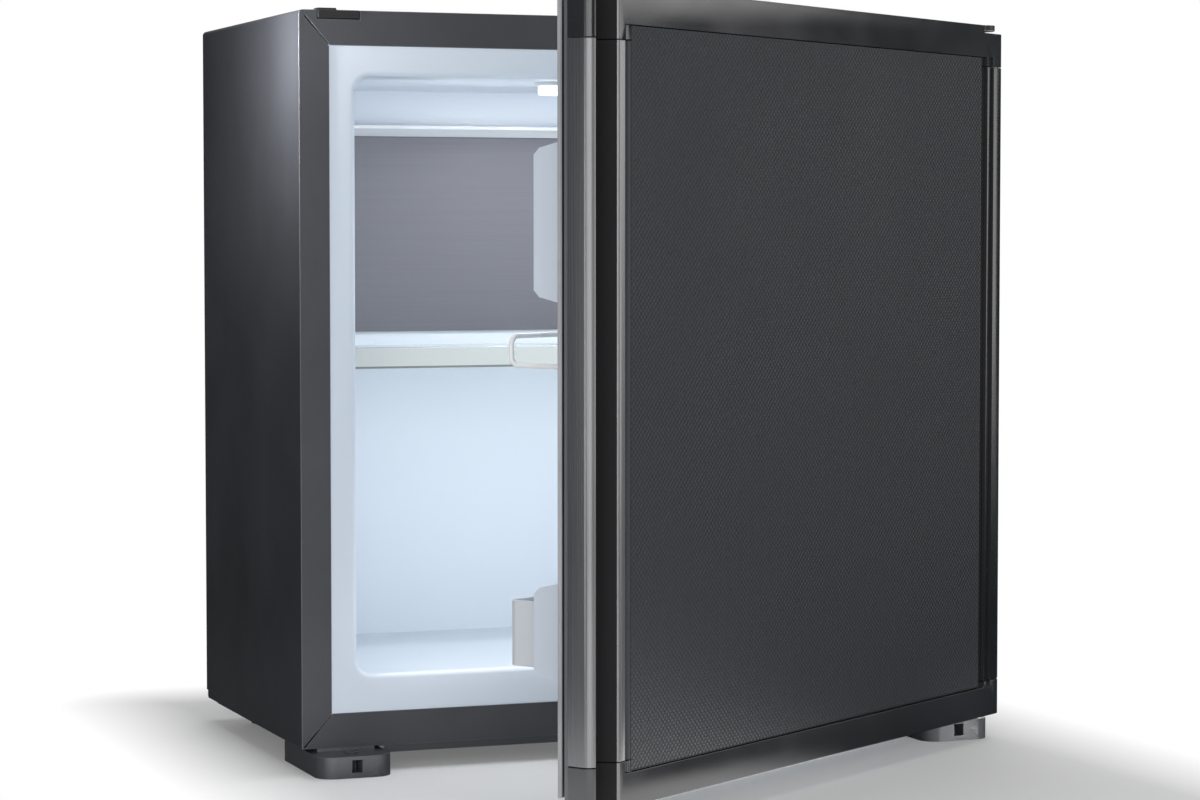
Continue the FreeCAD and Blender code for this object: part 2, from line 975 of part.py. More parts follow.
lens_low = lamp_low - d.lens_height
keep("lamp_base", lamp_prism("LampBase", lamp_low, d.lamp_base, as_size(0)))
keep(
    "lamp_lens",
    minus(
        "LampLens",
        lamp_prism("LensOuter", lens_low, d.lens_height, d.lens_inset),
        lamp_prism(
            "LensHollow",
            lens_low + d.lens_wall,
            d.lens_height,
            d.lens_inset + d.lens_wall,
        ),
    ),
)
keep(
    "lamp_board",
    block(
        "LampBoard",
        (-lamp_x + d.lamp_width / 2, lamp_x - d.lamp_width / 2),
        (lamp_front + d.lamp_width / 3, lamp_back - d.lamp_width / 3),
        (lamp_low - d.board_gauge, lamp_low),
    ),
)

# Glass shelf on the ledges, with a trim gripping its front edge
shelf_x = cavity_x - d.shelf_side_gap
shelf_back = cavity_back - d.shelf_back_gap - d.plate_gauge
glass_front = shelf_y + d.trim_wall
keep(
    "glass_shelf",
    block("GlassShelf", (-shelf_x, shelf_x), (glass_front, shelf_back), (ledge_top, shelf_top)),
)
trim_x = cavity_x - d.ledge_width - d.shelf_side_gap
trim_back = shelf_y + d.trim_depth
trim_low = shelf_top + d.trim_wall - d.trim_height
keep(
    "shelf_trim",
    prism(
        "ShelfTrim",
        "YZ",
        -trim_x,
        trim_x * 2,
        [
            (shelf_y, trim_low),
            (glass_front, trim_low),
            (glass_front, ledge_top - d.trim_wall),
            (trim_back, ledge_top - d.trim_wall),
            (trim_back, ledge_top),
            (glass_front, ledge_top),
            (glass_front, shelf_top),
            (trim_back, shelf_top),
            (trim_back, shelf_top + d.trim_wall),
            (shelf_y, shelf_top + d.trim_wall),
        ],
    ),
)

# Front feet: moulded, reaching forward under the door, with a fixing recess open to the front
foot_front = front - d.foot_reach
foot_back = front + d.foot_tail
foot_lip_top = under - d.foot_lip_drop
recess_back = foot_front + d.recess_depth
recess_top = d.recess_floor + d.recess_height


def foot(name, sign):
    left = sign * foot_x - d.foot_width / 2
    right = sign * foot_x + d.foot_width / 2
    outline = rectangle(left, right, foot_front, foot_back)
    lower = prism(
        f"Foot{name}Sole",
        "XY",
        as_size(0),
        foot_lip_top,
        outline,
        rounds=[(d.foot_corner, outline[:2]), (d.foot_corner / 2, outline[2:])],
    )
    upper = block(
        f"Foot{name}Pad",
        (left + d.foot_corner / 2, right - d.foot_corner / 2),
        (front + d.crossbar_setback, foot_back - d.foot_corner / 2),
        (foot_lip_top, under),
    )
    recess = block(
        f"Foot{name}Recess",
        (sign * foot_x - d.recess_width / 2, sign * foot_x + d.recess_width / 2),
        (foot_front - 1, recess_back),
        (d.recess_floor, recess_top),
    )
    axis = (sign * foot_x, as_size(0))
    fixing = rod(
        f"Foot{name}Fixing", "z", (*axis, as_size(-1)), d.recess_floor + 2, d.fixing_hole_radius
    )
    driver = rod(
        f"Foot{name}Driver", "z", (*axis, d.recess_floor), foot_lip_top, d.driver_hole_radius
    )
    seats = foot_screw_seats[:2] if sign < 0 else foot_screw_seats[2:]
    counterbores = [
        rod(
            f"Foot{name}Bore{i}",
            "z",
            (seat[0], seat[1], as_size(-1)),
            seat[2] + 1,
            d.screw_head_radius + d.weld_gap,
        )
        for i, seat in enumerate(seats)
    ]
    shanks = holes(f"Foot{name}Hole", "z", seats, -1)
    return joined(f"Foot{name}Solid", lower, upper), [recess, fixing, driver, *counterbores, *shanks]


lower_pin_seat = foot_lip_top - d.pin_reach / 2
left_solid, left_cuts = foot("Left", -1)
keep("foot_left", minus("FootLeft", left_solid, *left_cuts))
right_solid, right_cuts = foot("Right", 1)
pin_socket = rod(
    "PinSocket",
    "z",
    (hinge_x, hinge_y, lower_pin_seat),
    d.pin_reach,
    d.pin_radius + d.pin_clearance,
)
keep("foot_right", minus("FootRight", right_solid, *right_cuts, pin_socket))
keep("foot_screws", group("FootScrews", *screws("FootScrew", "z", foot_screw_seats, -1)))


def rear_foot(name, sign):
    return rod(
        "RearFoot" + name,
        "z",
        (sign * (side - d.rear_foot_inset_x), back - d.rear_foot_inset_y, as_size(0)),
        under,
        d.rear_foot_radius,
    )


keep("rear_feet", group("RearFeet", *both_sides(rear_foot)))

# Top hinge: plate under the top sheet with a rounded nose over the door, and its pin
plate_z1 = top - gauge
plate_z0 = plate_z1 - d.hinge_plate_gauge
nose = d.hinge_nose_radius
plate_left = slot_in + d.slot_play
plate_right = slot_out - d.slot_play
hinge_tongue = prism(
    "HingeTongue",
    "XY",
    plate_z0,
    d.hinge_plate_gauge,
    [
        (plate_left, front + d.hinge_plate_tail),
        (plate_left, front - 1),
        (hinge_x - nose, hinge_y + d.pin_radius),
        (hinge_x, hinge_y),
        (plate_right, hinge_y + d.pin_radius),
        (plate_right, front + d.hinge_plate_tail),
    ],
)
hinge_nose = rod("HingeNose", "z", (hinge_x, hinge_y, plate_z0), d.hinge_plate_gauge, nose)
upper_pin_low = plate_z0 - d.hinge_gap - d.pin_reach
upper_pin_bore = rod(
    "UpperPinBore",
    "z",
    (hinge_x, hinge_y, plate_z0 - 1),
    d.hinge_plate_gauge + 2,
    d.pin_radius + d.pin_clearance,
)
keep(
    "hinge_plate",
    minus("HingePlate", joined("HingeBlank", hinge_tongue, hinge_nose), upper_pin_bore),
)
keep(
    "hinge_pin_top",
    rod("HingePinTop", "z", (hinge_x, hinge_y, upper_pin_low), plate_z1 - upper_pin_low, d.pin_radius),
)
door_low = under + d.door_gap_low
door_top = top - d.door_gap_top
keep(
    "hinge_pin_bottom",
    rod(
        "HingePinBottom",
        "z",
        (hinge_x, hinge_y, lower_pin_seat),
        door_low + d.pin_reach - lower_pin_seat,
        d.pin_radius,
    ),
)

# Plug that closes the unused hinge slot at the left
plug_stem = block(
    "PlugStem",
    (-slot_out + d.slot_play, -slot_in - d.slot_play),
    (front - gauge, front + d.slot_reach - d.slot_play),
    (top - d.slot_drop + d.slot_play, top),
)
plug_tab = block(
    "PlugTab",
    (-slot_out + d.slot_play, -slot_out + d.slot_play + d.plug_tab_width),
    (front + gauge, front + d.slot_reach - d.slot_play),
    (top, top + d.plug_tab_height),
)
keep("hinge_slot_plug", joined("HingeSlotPlug", plug_stem, plug_tab))

# Door, drawn closed and then swung open about the hinge axis
face = front - d.door_thickness
door_back = front - d.door_back_gap
frame_back = door_back - d.door_liner_wall
panel_x0 = -side + d.panel_left
panel_x1 = side - d.panel_right
panel_z0 = under + d.panel_low
panel_z1 = top - d.panel_top_drop
groove_floor = face + d.groove_depth
panel_face = face + d.panel_sink
step_face = face + d.profile_step

lip_left = panel_x0 - d.panel_seam - d.panel_lip
handle_outline = [
    (-side, frame_back),
    (-side, face),
    (-side + d.groove_start, face),
    (-side + d.groove_start, groove_floor),
    (-side + d.groove_end, groove_floor),
    (-side + d.rib_start, face),
    (-side + d.rib_end, face),
    (-side + d.rib_end + d.profile_bevel, step_face),
    (lip_left - d.panel_lip_bevel, step_face),
    (lip_left, panel_face),
    (panel_x0 - d.panel_seam, panel_face),
    (panel_x0 - d.panel_seam, frame_back),
]
handle_rounds = [
    (d.ridge_round, handle_outline[1:2]),
    (d.ridge_inner_round, handle_outline[2:3]),
    (d.groove_round, handle_outline[3:5]),
    (d.profile_step, handle_outline[5:6]),
]
lip_right = panel_x1 + d.panel_seam + d.panel_lip
groove_1 = lip_right + d.panel_lip_bevel
groove_1_end = groove_1 + d.hinge_groove_wide
rib_1 = groove_1_end + d.profile_bevel
rib_1_end = rib_1 + d.hinge_rib
groove_2 = rib_1_end + d.profile_bevel
groove_2_end = groove_2 + d.hinge_groove_narrow
hinge_outline = [
    (panel_x1 + d.panel_seam, frame_back),
    (panel_x1 + d.panel_seam, panel_face),
    (lip_right, panel_face),
    (groove_1, step_face),
    (groove_1_end, step_face),
    (rib_1, face),
    (rib_1_end, face),
    (groove_2, step_face),
    (groove_2_end, step_face),
    (groove_2_end + d.profile_bevel, face),
    (side, face),
    (side, frame_back),
]
hinge_rounds = [(d.hinge_side_round, hinge_outline[10:11]), (d.hinge_back_round, hinge_outline[11:12])]
cap_outline = handle_outline[:7] + hinge_outline[9:]
cap_rounds = handle_rounds + hinge_rounds


def swung(label, feature):
    """Keeps a piece of the door, turned open with it."""
    feature.Placement = swing
    return keep(label, feature)


handle_z0 = under + d.handle_low
handle_z1 = top - d.handle_top_drop
hinge_z0 = under + d.hinge_profile_low
hinge_z1 = top - d.hinge_profile_top_drop
swung(
    "door_handle_profile",
    prism("HandleProfile", "XY", handle_z0, handle_z1 - handle_z0, handle_outline, rounds=handle_rounds),
)
swung(
    "door_hinge_profile",
    prism("HingeProfile", "XY", hinge_z0, hinge_z1 - hinge_z0, hinge_outline, rounds=hinge_rounds),
)


def cap(name, bar, handle_leg, hinge_leg):
    """End cap: a full-width bar with a leg down each profile. Each argument is (low, high)."""
    pieces = [
        prism(name + "Bar", "XY", bar[0], bar[1] - bar[0], cap_outline, rounds=cap_rounds),
        prism(
            name + "HandleLeg",
            "XY",
            handle_leg[0],
            handle_leg[1] - handle_leg[0],
            handle_outline,
            rounds=handle_rounds,
        ),
        prism(
            name + "HingeLeg",
            "XY",
            hinge_leg[0],
            hinge_leg[1] - hinge_leg[0],
            hinge_outline,
            rounds=hinge_rounds,
        ),
    ]
    return joined(name + "Solid", *pieces)


seam = d.cap_seam
bush_radius = d.pin_radius + d.pin_clearance + d.bush_wall
notch_z = plate_z0 - d.hinge_gap
top_cap_solid = cap(
    "TopCap",
    (panel_z1 + seam, door_top),
    (handle_z1 + seam, panel_z1 + seam),
    (hinge_z1 + seam, panel_z1 + seam),
)
hinge_notch = block(
    "HingeNotch",
    (side - d.hinge_notch_width, side + 1),
    (face - 1, frame_back + 1),
    (notch_z, door_top + 1),
)
upper_bush_low = notch_z - d.bush_length
upper_bush_bore = rod(
    "UpperBushBore",
    "z",
    (hinge_x, hinge_y, upper_bush_low),
    d.bush_length + 1,
    bush_radius + d.pin_clearance,
)
swung("door_top_cap", minus("TopCap", top_cap_solid, hinge_notch, upper_bush_bore))

bottom_cap_solid = cap(
    "BottomCap",
    (door_low, panel_z0 - seam),
    (panel_z0 - seam, handle_z0 - seam),
    (panel_z0 - seam, hinge_z0 - seam),
)
lower_bush_bore = rod(
    "LowerBushBore",
    "z",
    (hinge_x, hinge_y, door_low - 1),
    d.bush_length + 1,
    bush_radius + d.pin_clearance,
)
swung("door_bottom_cap", minus("BottomCap", bottom_cap_solid, lower_bush_bore))


def bush(name, low):
    outer = rod(name + "Outer", "z", (hinge_x, hinge_y, low), d.bush_length, bush_radius)
    bore = rod(
        name + "Bore",
        "z",
        (hinge_x, hinge_y, low - 1),
        d.bush_length + 2,
        d.pin_radius + d.pin_clearance,
    )
    return minus(name, outer, bore)


swung("hinge_bush_top", bush("HingeBushTop", upper_bush_low))
swung("hinge_bush_bottom", bush("HingeBushBottom", door_low))

panel_back = panel_face + d.panel_gauge
swung(
    "door_panel",
    prism(
        "DoorPanel",
        "XZ",
        panel_face,
        d.panel_gauge,
        rectangle(panel_x0, panel_x1, panel_z0, panel_z1),
    ),
)

# Door liner: border sheet, hollow plug that enters the case, and four bosses with pegs for the bins
plug_x0 = -side + d.plug_left
plug_x1 = side - d.plug_left
plug_z0 = under + d.plug_low
plug_z1 = top - d.plug_top_drop
plug_y = front + d.plug_face
liner_border = prism(
    "DoorLinerBorder",
    "XZ",
    frame_back,
    d.door_liner_wall,
    rectangle(-side + seam, side - d.hinge_inset / 2, door_low + seam, door_top - d.slot_drop - seam),
)


def plug_prism(name, start, length, inset):
    outline = rectangle(plug_x0 + inset, plug_x1 - inset, plug_z0 + inset, plug_z1 - inset)
    return prism(name, "XZ", start, length, outline, rounds=[(d.plug_corner - inset, outline)])


plug_outer = plug_prism("DoorPlugOuter", frame_back, plug_y - frame_back, as_size(0))
plug_inner = plug_prism(
    "DoorPlugInner", frame_back - 1, plug_y - frame_back + 1 - d.door_liner_wall, d.door_liner_wall
)
boss_y = front + d.boss_depth


def boss(name, sign, low, high):
    """Tapered boss of the door liner, with a peg on its inner face."""
    draft = d.boss_draft
    outline = [
        (plug_y - d.door_liner_wall / 2, low - draft / 2),
        (boss_y - draft / 2, low + draft / 2),
        (boss_y, low + draft),
        (boss_y, high - draft * 1.5),
        (boss_y - draft / 2, high - draft),
        (plug_y - d.door_liner_wall / 2, high),
    ]
    x0 = plug_x0 if sign < 0 else plug_x1 - d.boss_width
    peg_x = plug_x0 + d.boss_width - 1 if sign < 0 else plug_x1 - d.boss_width - d.peg_length
    peg_y = (plug_y + boss_y) / 2
    peg = rod(
        name + "Peg",
        "x",
        (peg_x, peg_y, low + draft + d.peg_rise),
        d.peg_length + 1,
        d.peg_radius,
    )
    return [prism(name, "YZ", x0, d.boss_width, outline), peg]


boss_high_top = top - d.boss_high_drop
boss_high_low = boss_high_top - d.boss_high_height
boss_levels = {
    "High": (boss_high_low, boss_high_top),
    "Low": (under + d.boss_low_low, under + d.boss_low_top),
}
bosses = [
    piece
    for level, (low, high) in boss_levels.items()
    for sign, hand in ((-1, "Left"), (1, "Right"))
    for piece in boss(f"Boss{level}{hand}", sign, low, high)
]
swung(
    "door_liner",
    minus("DoorLiner", joined("DoorLinerSolid", liner_border, plug_outer, *bosses), plug_inner),
)

# Foam that fills the door between its panel and its liner
door_foam_slab = prism(
    "DoorFoamSlab",
    "XZ",
    panel_back,
    frame_back - panel_back,
    rectangle(panel_x0, panel_x1, panel_z0, panel_z1),
)
door_foam_plug = plug_prism(
    "DoorFoamPlug", frame_back, plug_y - frame_back - d.door_liner_wall, d.door_liner_wall
)
swung("door_insulation", joined("DoorInsulation", door_foam_slab, door_foam_plug))

# Magnetic gasket: narrow foot on the liner and a wide bulb that meets the case flange
seal_back = front - d.gasket_clearance
bulb_front = door_back + d.gasket_foot


def seal_ring(name, start, length, inset, width):
    left, right = -side + d.gasket_inset + inset, side - d.gasket_hinge_inset - inset
    low, high = door_low + d.gasket_inset + inset, door_top - d.gasket_inset - inset
    return prism(
        name,
        "XZ",
        start,
        length,
        rectangle(left, right, low, high),
        rectangle(left + width, right - width, low + width, high - width),
    )


foot_inset = d.gasket_foot_inset
seal_foot = seal_ring(
    "SealFoot", door_back, d.gasket_foot, foot_inset, d.gasket_width - foot_inset * 2
)
seal_bulb = seal_ring("SealBulb", bulb_front, seal_back - bulb_front, as_size(0), d.gasket_width)
swung("door_gasket", joined("DoorGasket", seal_foot, seal_bulb))

# Door bins: moulded trays that hang on the pegs by open slots and lift off upwards
bin_x0 = plug_x0 + d.boss_width + d.bin_gap
bin_x1 = plug_x1 - d.boss_width - d.bin_gap
bin_back = plug_y + d.bin_gap


def hanging_bin(name, floor, height, depth, peg_z):
    bin_front = front + depth
    outer_outline = rectangle(bin_x0, bin_x1, bin_back, bin_front)
    inner_outline = rectangle(
        bin_x0 + d.bin_wall, bin_x1 - d.bin_wall, bin_back + d.bin_wall, bin_front - d.bin_wall
    )
    outer = prism(
        name + "Outer",
        "XY",
        floor,
        height,
        outer_outline,
        rounds=[(d.bin_corner, outer_outline[2:])],
    )
    inner = prism(
        name + "Inner",
        "XY",
        floor + d.bin_wall,
        height,
        inner_outline,
        rounds=[(d.bin_corner - d.bin_wall, inner_outline[2:])],
    )
    peg_y = (plug_y + boss_y) / 2
    half = d.peg_radius + d.bin_gap
    slots = [
        block(
            f"{name}Slot{hand}",
            (edge - d.peg_length - d.bin_gap, edge + d.peg_length + d.bin_gap),
            (peg_y - half, peg_y + half),
            (floor - 1, peg_z + half),
        )
        for hand, edge in (("Left", bin_x0), ("Right", bin_x1))
    ]
    return minus(name, outer, inner, *slots)


def peg_height(level):
    return boss_levels[level][0] + d.boss_draft + d.peg_rise


swung(
    "upper_door_bin",
    hanging_bin(
        "UpperDoorBin",
        boss_high_low + d.upper_bin_rise,
        d.upper_bin_height,
        d.upper_bin_depth,
        peg_height("High"),
    ),
)
swung(
    "bottle_rack",
    hanging_bin("BottleRack", under + d.rack_floor, d.rack_height, d.rack_depth, peg_height("Low")),
)

# Bottle rail: one bent wire, its legs on the door liner and its bar raised in front
rail_x0 = plug_x0 + d.rail_inset
rail_x1 = plug_x1 - d.rail_inset
rail_y = front + d.rail_depth
rail_z0 = boss_high_low - d.rail_drop
rail_z1 = rail_z0 + d.rail_rise
swung(
    "bottle_rail",
    routed_tube(
        "BottleRail",
        [
            (rail_x0, plug_y, rail_z0),
            (rail_x0, rail_y, rail_z0),
            (rail_x0, rail_y, rail_z1),
            (rail_x1, rail_y, rail_z1),
            (rail_x1, rail_y, rail_z0),
            (rail_x1, plug_y, rail_z0),
        ],
        d.wire_radius,
        d.rail_bend,
    ),
)

# Boiler: sheet casing packed with wool round the boiler tube and its heater
condenser_z = top - d.condenser_drop
boiler_x = d.boiler_inset - side
boiler_z0 = under + d.boiler_low
boiler_z1 = condenser_z - d.boiler_top_gap
boiler_axis = (boiler_x, unit_y)
heater_axis = (boiler_x + d.heater_offset, unit_y)
skin = d.boiler_skin
fit = d.weld_gap
tube_z0 = boiler_z0 - d.boiler_tube_below
tube_z1 = boiler_z1 + d.boiler_tube_above
heater_z0 = boiler_z0 - d.heater_below


def boiler_rod(name, axis, low, high, radius):
    return rod(name, "z", (*axis, low), high - low, radius)


def boiler_tunnels(name):
    """Clearance for the tube and the heater where they pass a wall or the wool."""
    return [
        boiler_rod(
            name + "TubeHole", boiler_axis, tube_z0 - 1, tube_z1 + 1, d.boiler_tube_radius + fit
        ),
        boiler_rod(
            name + "HeaterHole",
            heater_axis,
            heater_z0 - 1,
            heater_z0 + d.heater_length + fit,
            d.heater_radius + fit,
        ),
    ]


casing_outer = boiler_rod("CasingOuter", boiler_axis, boiler_z0, boiler_z1, d.boiler_radius)
casing_hollow = boiler_rod(
    "CasingHollow", boiler_axis, boiler_z0 + skin, boiler_z1 - skin, d.boiler_radius - skin
)
keep(
    "boiler_casing",
    minus("BoilerCasing", casing_outer, casing_hollow, *boiler_tunnels("Casing")),
)
wool = boiler_rod(
    "Wool", boiler_axis, boiler_z0 + skin, boiler_z1 - skin, d.boiler_radius - skin - fit
)
keep("boiler_wool", minus("BoilerWool", wool, *boiler_tunnels("Wool")))
keep("boiler_tube", boiler_rod("BoilerTube", boiler_axis, tube_z0, tube_z1, d.boiler_tube_radius))
keep(
    "heater_cartridge",
    boiler_rod("HeaterCartridge", heater_axis, heater_z0, heater_z0 + d.heater_length, d.heater_radius),
)
strap_low = (boiler_z0 + boiler_z1) / 2
strap_ring = boiler_rod(
    "StrapRing", boiler_axis, strap_low, strap_low + d.strap_height, d.boiler_radius + fit + skin
)
strap_tab = block(
    "StrapTab",
    (boiler_x - d.boiler_tube_radius, boiler_x + d.boiler_tube_radius),
    (back, unit_y),
    (strap_low, strap_low + d.strap_height),
)
strap_bore = boiler_rod(
    "StrapBore", boiler_axis, strap_low - 1, strap_low + d.strap_height + 1, d.boiler_radius + fit
)
keep("boiler_strap", minus("BoilerStrap", joined("StrapBlank", strap_ring, strap_tab), strap_bore))

# Condenser: tube from the boiler along the top of the unit, through a row of fins
gas_x = side - d.gas_tube_inset
keep(
    "condenser_tube",
    routed_tube(
        "CondenserTube",
        [
            (*boiler_axis, tube_z1),
            (*boiler_axis, condenser_z),
            (gas_x, unit_y, condenser_z),
            (gas_x, unit_y, evaporator_top),
            (union_x, unit_y, evaporator_top),
        ],
        d.condenser_radius,
        d.condenser_bend,
    ),
)
fin_start = boiler_x + d.fin_lead
fin_count = math.floor(float((gas_x - d.fin_tail - fin_start) / d.fin_pitch) + 1e-6)
fin_plate = block(
    "FinPlate",
    (fin_start, fin_start + d.fin_gauge),
    (unit_y - d.fin_width / 2, unit_y + d.fin_width / 2),
    (condenser_z - d.fin_height / 2, condenser_z + d.fin_height / 2),
)
fin_hole = rod(
    "FinHole", "x", (fin_start - 1, unit_y, condenser_z), d.fin_gauge + 2, d.condenser_radius + fit
)
fin = minus("Fin", fin_plate, fin_hole)
doc.recompute()
fins = doc.addObject("Part::Feature", "CondenserFins")
fins.Shape = Part.Compound(
    [
        fin.Shape.translated(Vector(i * float(d.fin_pitch), 0, 0))
        for i in range(fin_count)
    ]
)
keep("condenser_fins", fins)


def hanger(name, x):
    """Plate standing on the back panel that carries the condenser tube."""
    plate = block(
        name + "Plate",
        (x, x + d.cradle_gauge),
        (back, unit_y + d.condenser_radius + d.hanger_lip),
        (condenser_z - d.hanger_height / 2, condenser_z + d.hanger_height / 2),
    )
    tab = block(
        name + "Tab",
        (x, x + d.cradle_foot),
        (back, back + d.cradle_gauge),
        (condenser_z - d.hanger_height / 2, condenser_z + d.hanger_height / 2),
    )
    hole = rod(
        name + "Hole", "x", (x - 1, unit_y, condenser_z), d.cradle_gauge + 2, d.condenser_radius + fit
    )
    return minus(name, joined(name + "Blank", plate, tab), hole)


fin_end = fin_start + d.fin_pitch * fin_count
keep(
    "condenser_hangers",
    group(
        "CondenserHangers",
        hanger("HangerLeft", fin_start - d.hanger_lead),
        hanger("HangerRight", fin_end + d.hanger_tail),
    ),
)

# Gas heat exchanger: wide tube from the evaporator down to the absorber vessel
vessel_z = under + d.vessel_z
keep(
    "gas_exchanger_tube",
    routed_tube(
        "GasExchangerTube",
        [
            (union_x, unit_y, evaporator_low),
            (gas_x, unit_y, evaporator_low),
            (gas_x, unit_y, vessel_z + d.vessel_radius + fit),
        ],
        d.gas_tube_radius,
        d.gas_bend,
    ),
)

# Absorber coil: flattened spiral that climbs from the vessel, with runs at two depths
coil_z = under + d.coil_low
coil_front = back + d.coil_front
coil_rear = back + d.coil_rear
coil_left = boiler_x + d.coil_lead
coil_right = gas_x - d.coil_tail
coil_room = evaporator_low - d.coil_headroom - coil_z
coil_turns = math.floor(float(coil_room / d.coil_pitch) + 1e-6)


def coil_turn(turn):
    """The four corners of one turn, each a quarter of the pitch above the last."""
    corners = [
        (coil_left, coil_rear),
        (coil_right, coil_rear),
        (coil_right, coil_front),
        (coil_left, coil_front),
    ]
    return [
        (x, y, coil_z + d.coil_pitch * (turn + quarter / 4))
        for quarter, (x, y) in enumerate(corners)
    ]


coil_corners = [corner for turn in range(coil_turns) for corner in coil_turn(turn)]
coil_head = coil_z + d.coil_pitch * coil_turns
coil_route = [
    (coil_left, unit_y, vessel_z + d.vessel_radius + fit),
    (coil_left, unit_y, coil_z - d.coil_pitch / 4),
    *coil_corners[1:],
    (coil_left, coil_rear, coil_head),
    (as_size(0), coil_rear, coil_head),
    (gas_x - d.gas_tube_radius - d.coil_end_gap, unit_y, coil_head + d.coil_pitch / 4),
]
keep("absorber_coil", routed_tube("AbsorberCoil", coil_route, d.coil_radius, d.coil_bend))

# Absorber vessel: closed drum with rounded ends, on two cradles
vessel_left = boiler_x + d.vessel_lead
vessel_right = gas_x + d.vessel_tail
vessel_drum = rod(
    "VesselDrum",
    "x",
    (vessel_left, unit_y, vessel_z),
    vessel_right - vessel_left,
    d.vessel_radius,
)
doc.recompute()
vessel = doc.addObject("Part::Fillet", "Vessel")
vessel.Base = vessel_drum
vessel.Edges = [
    (number, float(d.vessel_round), float(d.vessel_round))
    for number, edge in enumerate(vessel_drum.Shape.Edges, start=1)
    if edge.Closed
]
keep("absorber_vessel", vessel)


def cradle(name, x):
    """Upright plate under the vessel, with a foot on the back panel."""
    plate = block(
        name + "Plate",
        (x, x + d.cradle_gauge),
        (back, unit_y + d.vessel_radius / 2),
        (vessel_z - d.vessel_radius - d.cradle_drop, vessel_z),
    )
    tab = block(
        name + "Tab",
        (x, x + d.cradle_foot),
        (back, back + d.cradle_gauge),
        (vessel_z - d.vessel_radius - d.cradle_drop, vessel_z + d.vessel_radius / 2),
    )
    seat = rod(
        name + "Seat", "x", (x - 1, unit_y, vessel_z), d.cradle_foot + 2, d.vessel_radius + fit
    )
    return minus(name, joined(name + "Blank", plate, tab), seat)


keep(
    "vessel_cradles",
    group(
        "VesselCradles",
        cradle("CradleLeft", vessel_left + d.cradle_inset_left),
        cradle("CradleRight", vessel_right - d.cradle_inset_right),
    ),
)

# Solution tube from the vessel's end to the foot of the boiler
keep(
    "solution_tube",
    routed_tube(
        "SolutionTube",
        [
            (vessel_left - fit, unit_y, vessel_z),
            (boiler_x, unit_y, vessel_z),
            (*boiler_axis, tube_z0),
        ],
        d.solution_radius,
        d.solution_bend,
    ),
)

# Control box on the back panel, with its lid and the mains inlet in the lid
box_x1 = side - d.box_inset
box_x0 = box_x1 - d.box_width
box_y1 = back + d.box_depth
box_wall = d.box_wall
box_outer = prism(
    "BoxOuter",
    "XZ",
    back,
    d.box_depth,
    rectangle(box_x0, box_x1, box_z0, box_z1),
    rounds=[(d.bin_wall * 2, rectangle(box_x0, box_x1, box_z0, box_z1))],
)
box_hollow = block(
    "BoxHollow",
    (box_x0 + box_wall * 2, box_x1 - box_wall * 2),
    (back + box_wall, box_y1 + 1),
    (box_z0 + box_wall * 2, box_z1 - box_wall * 2),
)
keep("control_box", minus("ControlBox", box_outer, box_hollow))
lid_y1 = box_y1 + d.lid_gauge
inlet_x = (box_x0 + box_x1) / 2
inlet_z = box_z0 + d.inlet_height
lid_plate = prism(
    "LidPlate",
    "XZ",
    box_y1,
    d.lid_gauge,
    rectangle(box_x0, box_x1, box_z0, box_z1),
    rounds=[(d.bin_wall * 2, rectangle(box_x0, box_x1, box_z0, box_z1))],
)


def inlet_outline(grow):
    half_width = d.inlet_width / 2 + grow
    half_height = d.inlet_height / 2 + grow
    return rectangle(inlet_x - half_width, inlet_x + half_width, inlet_z - half_height, inlet_z + half_height)


lid_opening = prism("LidOpening", "XZ", box_y1 - 1, d.lid_gauge + 2, inlet_outline(fit))
keep("control_box_lid", minus("ControlBoxLid", lid_plate, lid_opening))
inlet_shell = prism("InletShell", "XZ", lid_y1 - d.inlet_depth, d.inlet_depth, inlet_outline(as_size(0)))
inlet_rim = prism("InletRim", "XZ", lid_y1, box_wall, inlet_outline(box_wall))
inlet_socket = prism(
    "InletSocket", "XZ", lid_y1 - d.inlet_depth + box_wall, d.inlet_depth + box_wall, inlet_outline(-box_wall)
)


def inlet_blade(name, shift):
    return block(
        "InletBlade" + name,
        (inlet_x + shift - d.blade_gauge / 2, inlet_x + shift + d.blade_gauge / 2),
        (lid_y1 - d.inlet_depth + box_wall / 2, lid_y1 - box_wall),
        (inlet_z - d.blade_height / 2, inlet_z + d.blade_height / 2),
    )


inlet_hollow = minus("InletHollow", joined("InletSolid", inlet_shell, inlet_rim), inlet_socket)
keep(
    "mains_inlet",
    joined("MainsInlet", inlet_hollow, *[inlet_blade(f"{i}", d.blade_spread * (i - 1)) for i in range(3)]),
)

keep("back_panel_screws", group("BackPanelScrews", *screws("BackScrew", "y", back_screw_seats, 1)))

# Everything is recomputed and checked before any file is written
doc.recompute()
for feature in doc.Objects:
    if {"Invalid", "Error"} & set(feature.State):
        raise RuntimeError(f"{feature.Name} failed: {feature.State}")
for label, feature in nodes.items():
    if feature.Shape.isNull() or not feature.Shape.isValid() or not feature.Shape.Solids:
        raise RuntimeError(f"{label} has no valid solid")

os.makedirs("parts", exist_ok=True)
for label, feature in nodes.items():
    feature.Shape.exportStep(f"parts/{label}.step")
    print(label, len(feature.Shape.Solids), round(feature.Shape.Volume))
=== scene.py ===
import json
import math
import bmesh
import bpy
from mathutils import Matrix, Vector

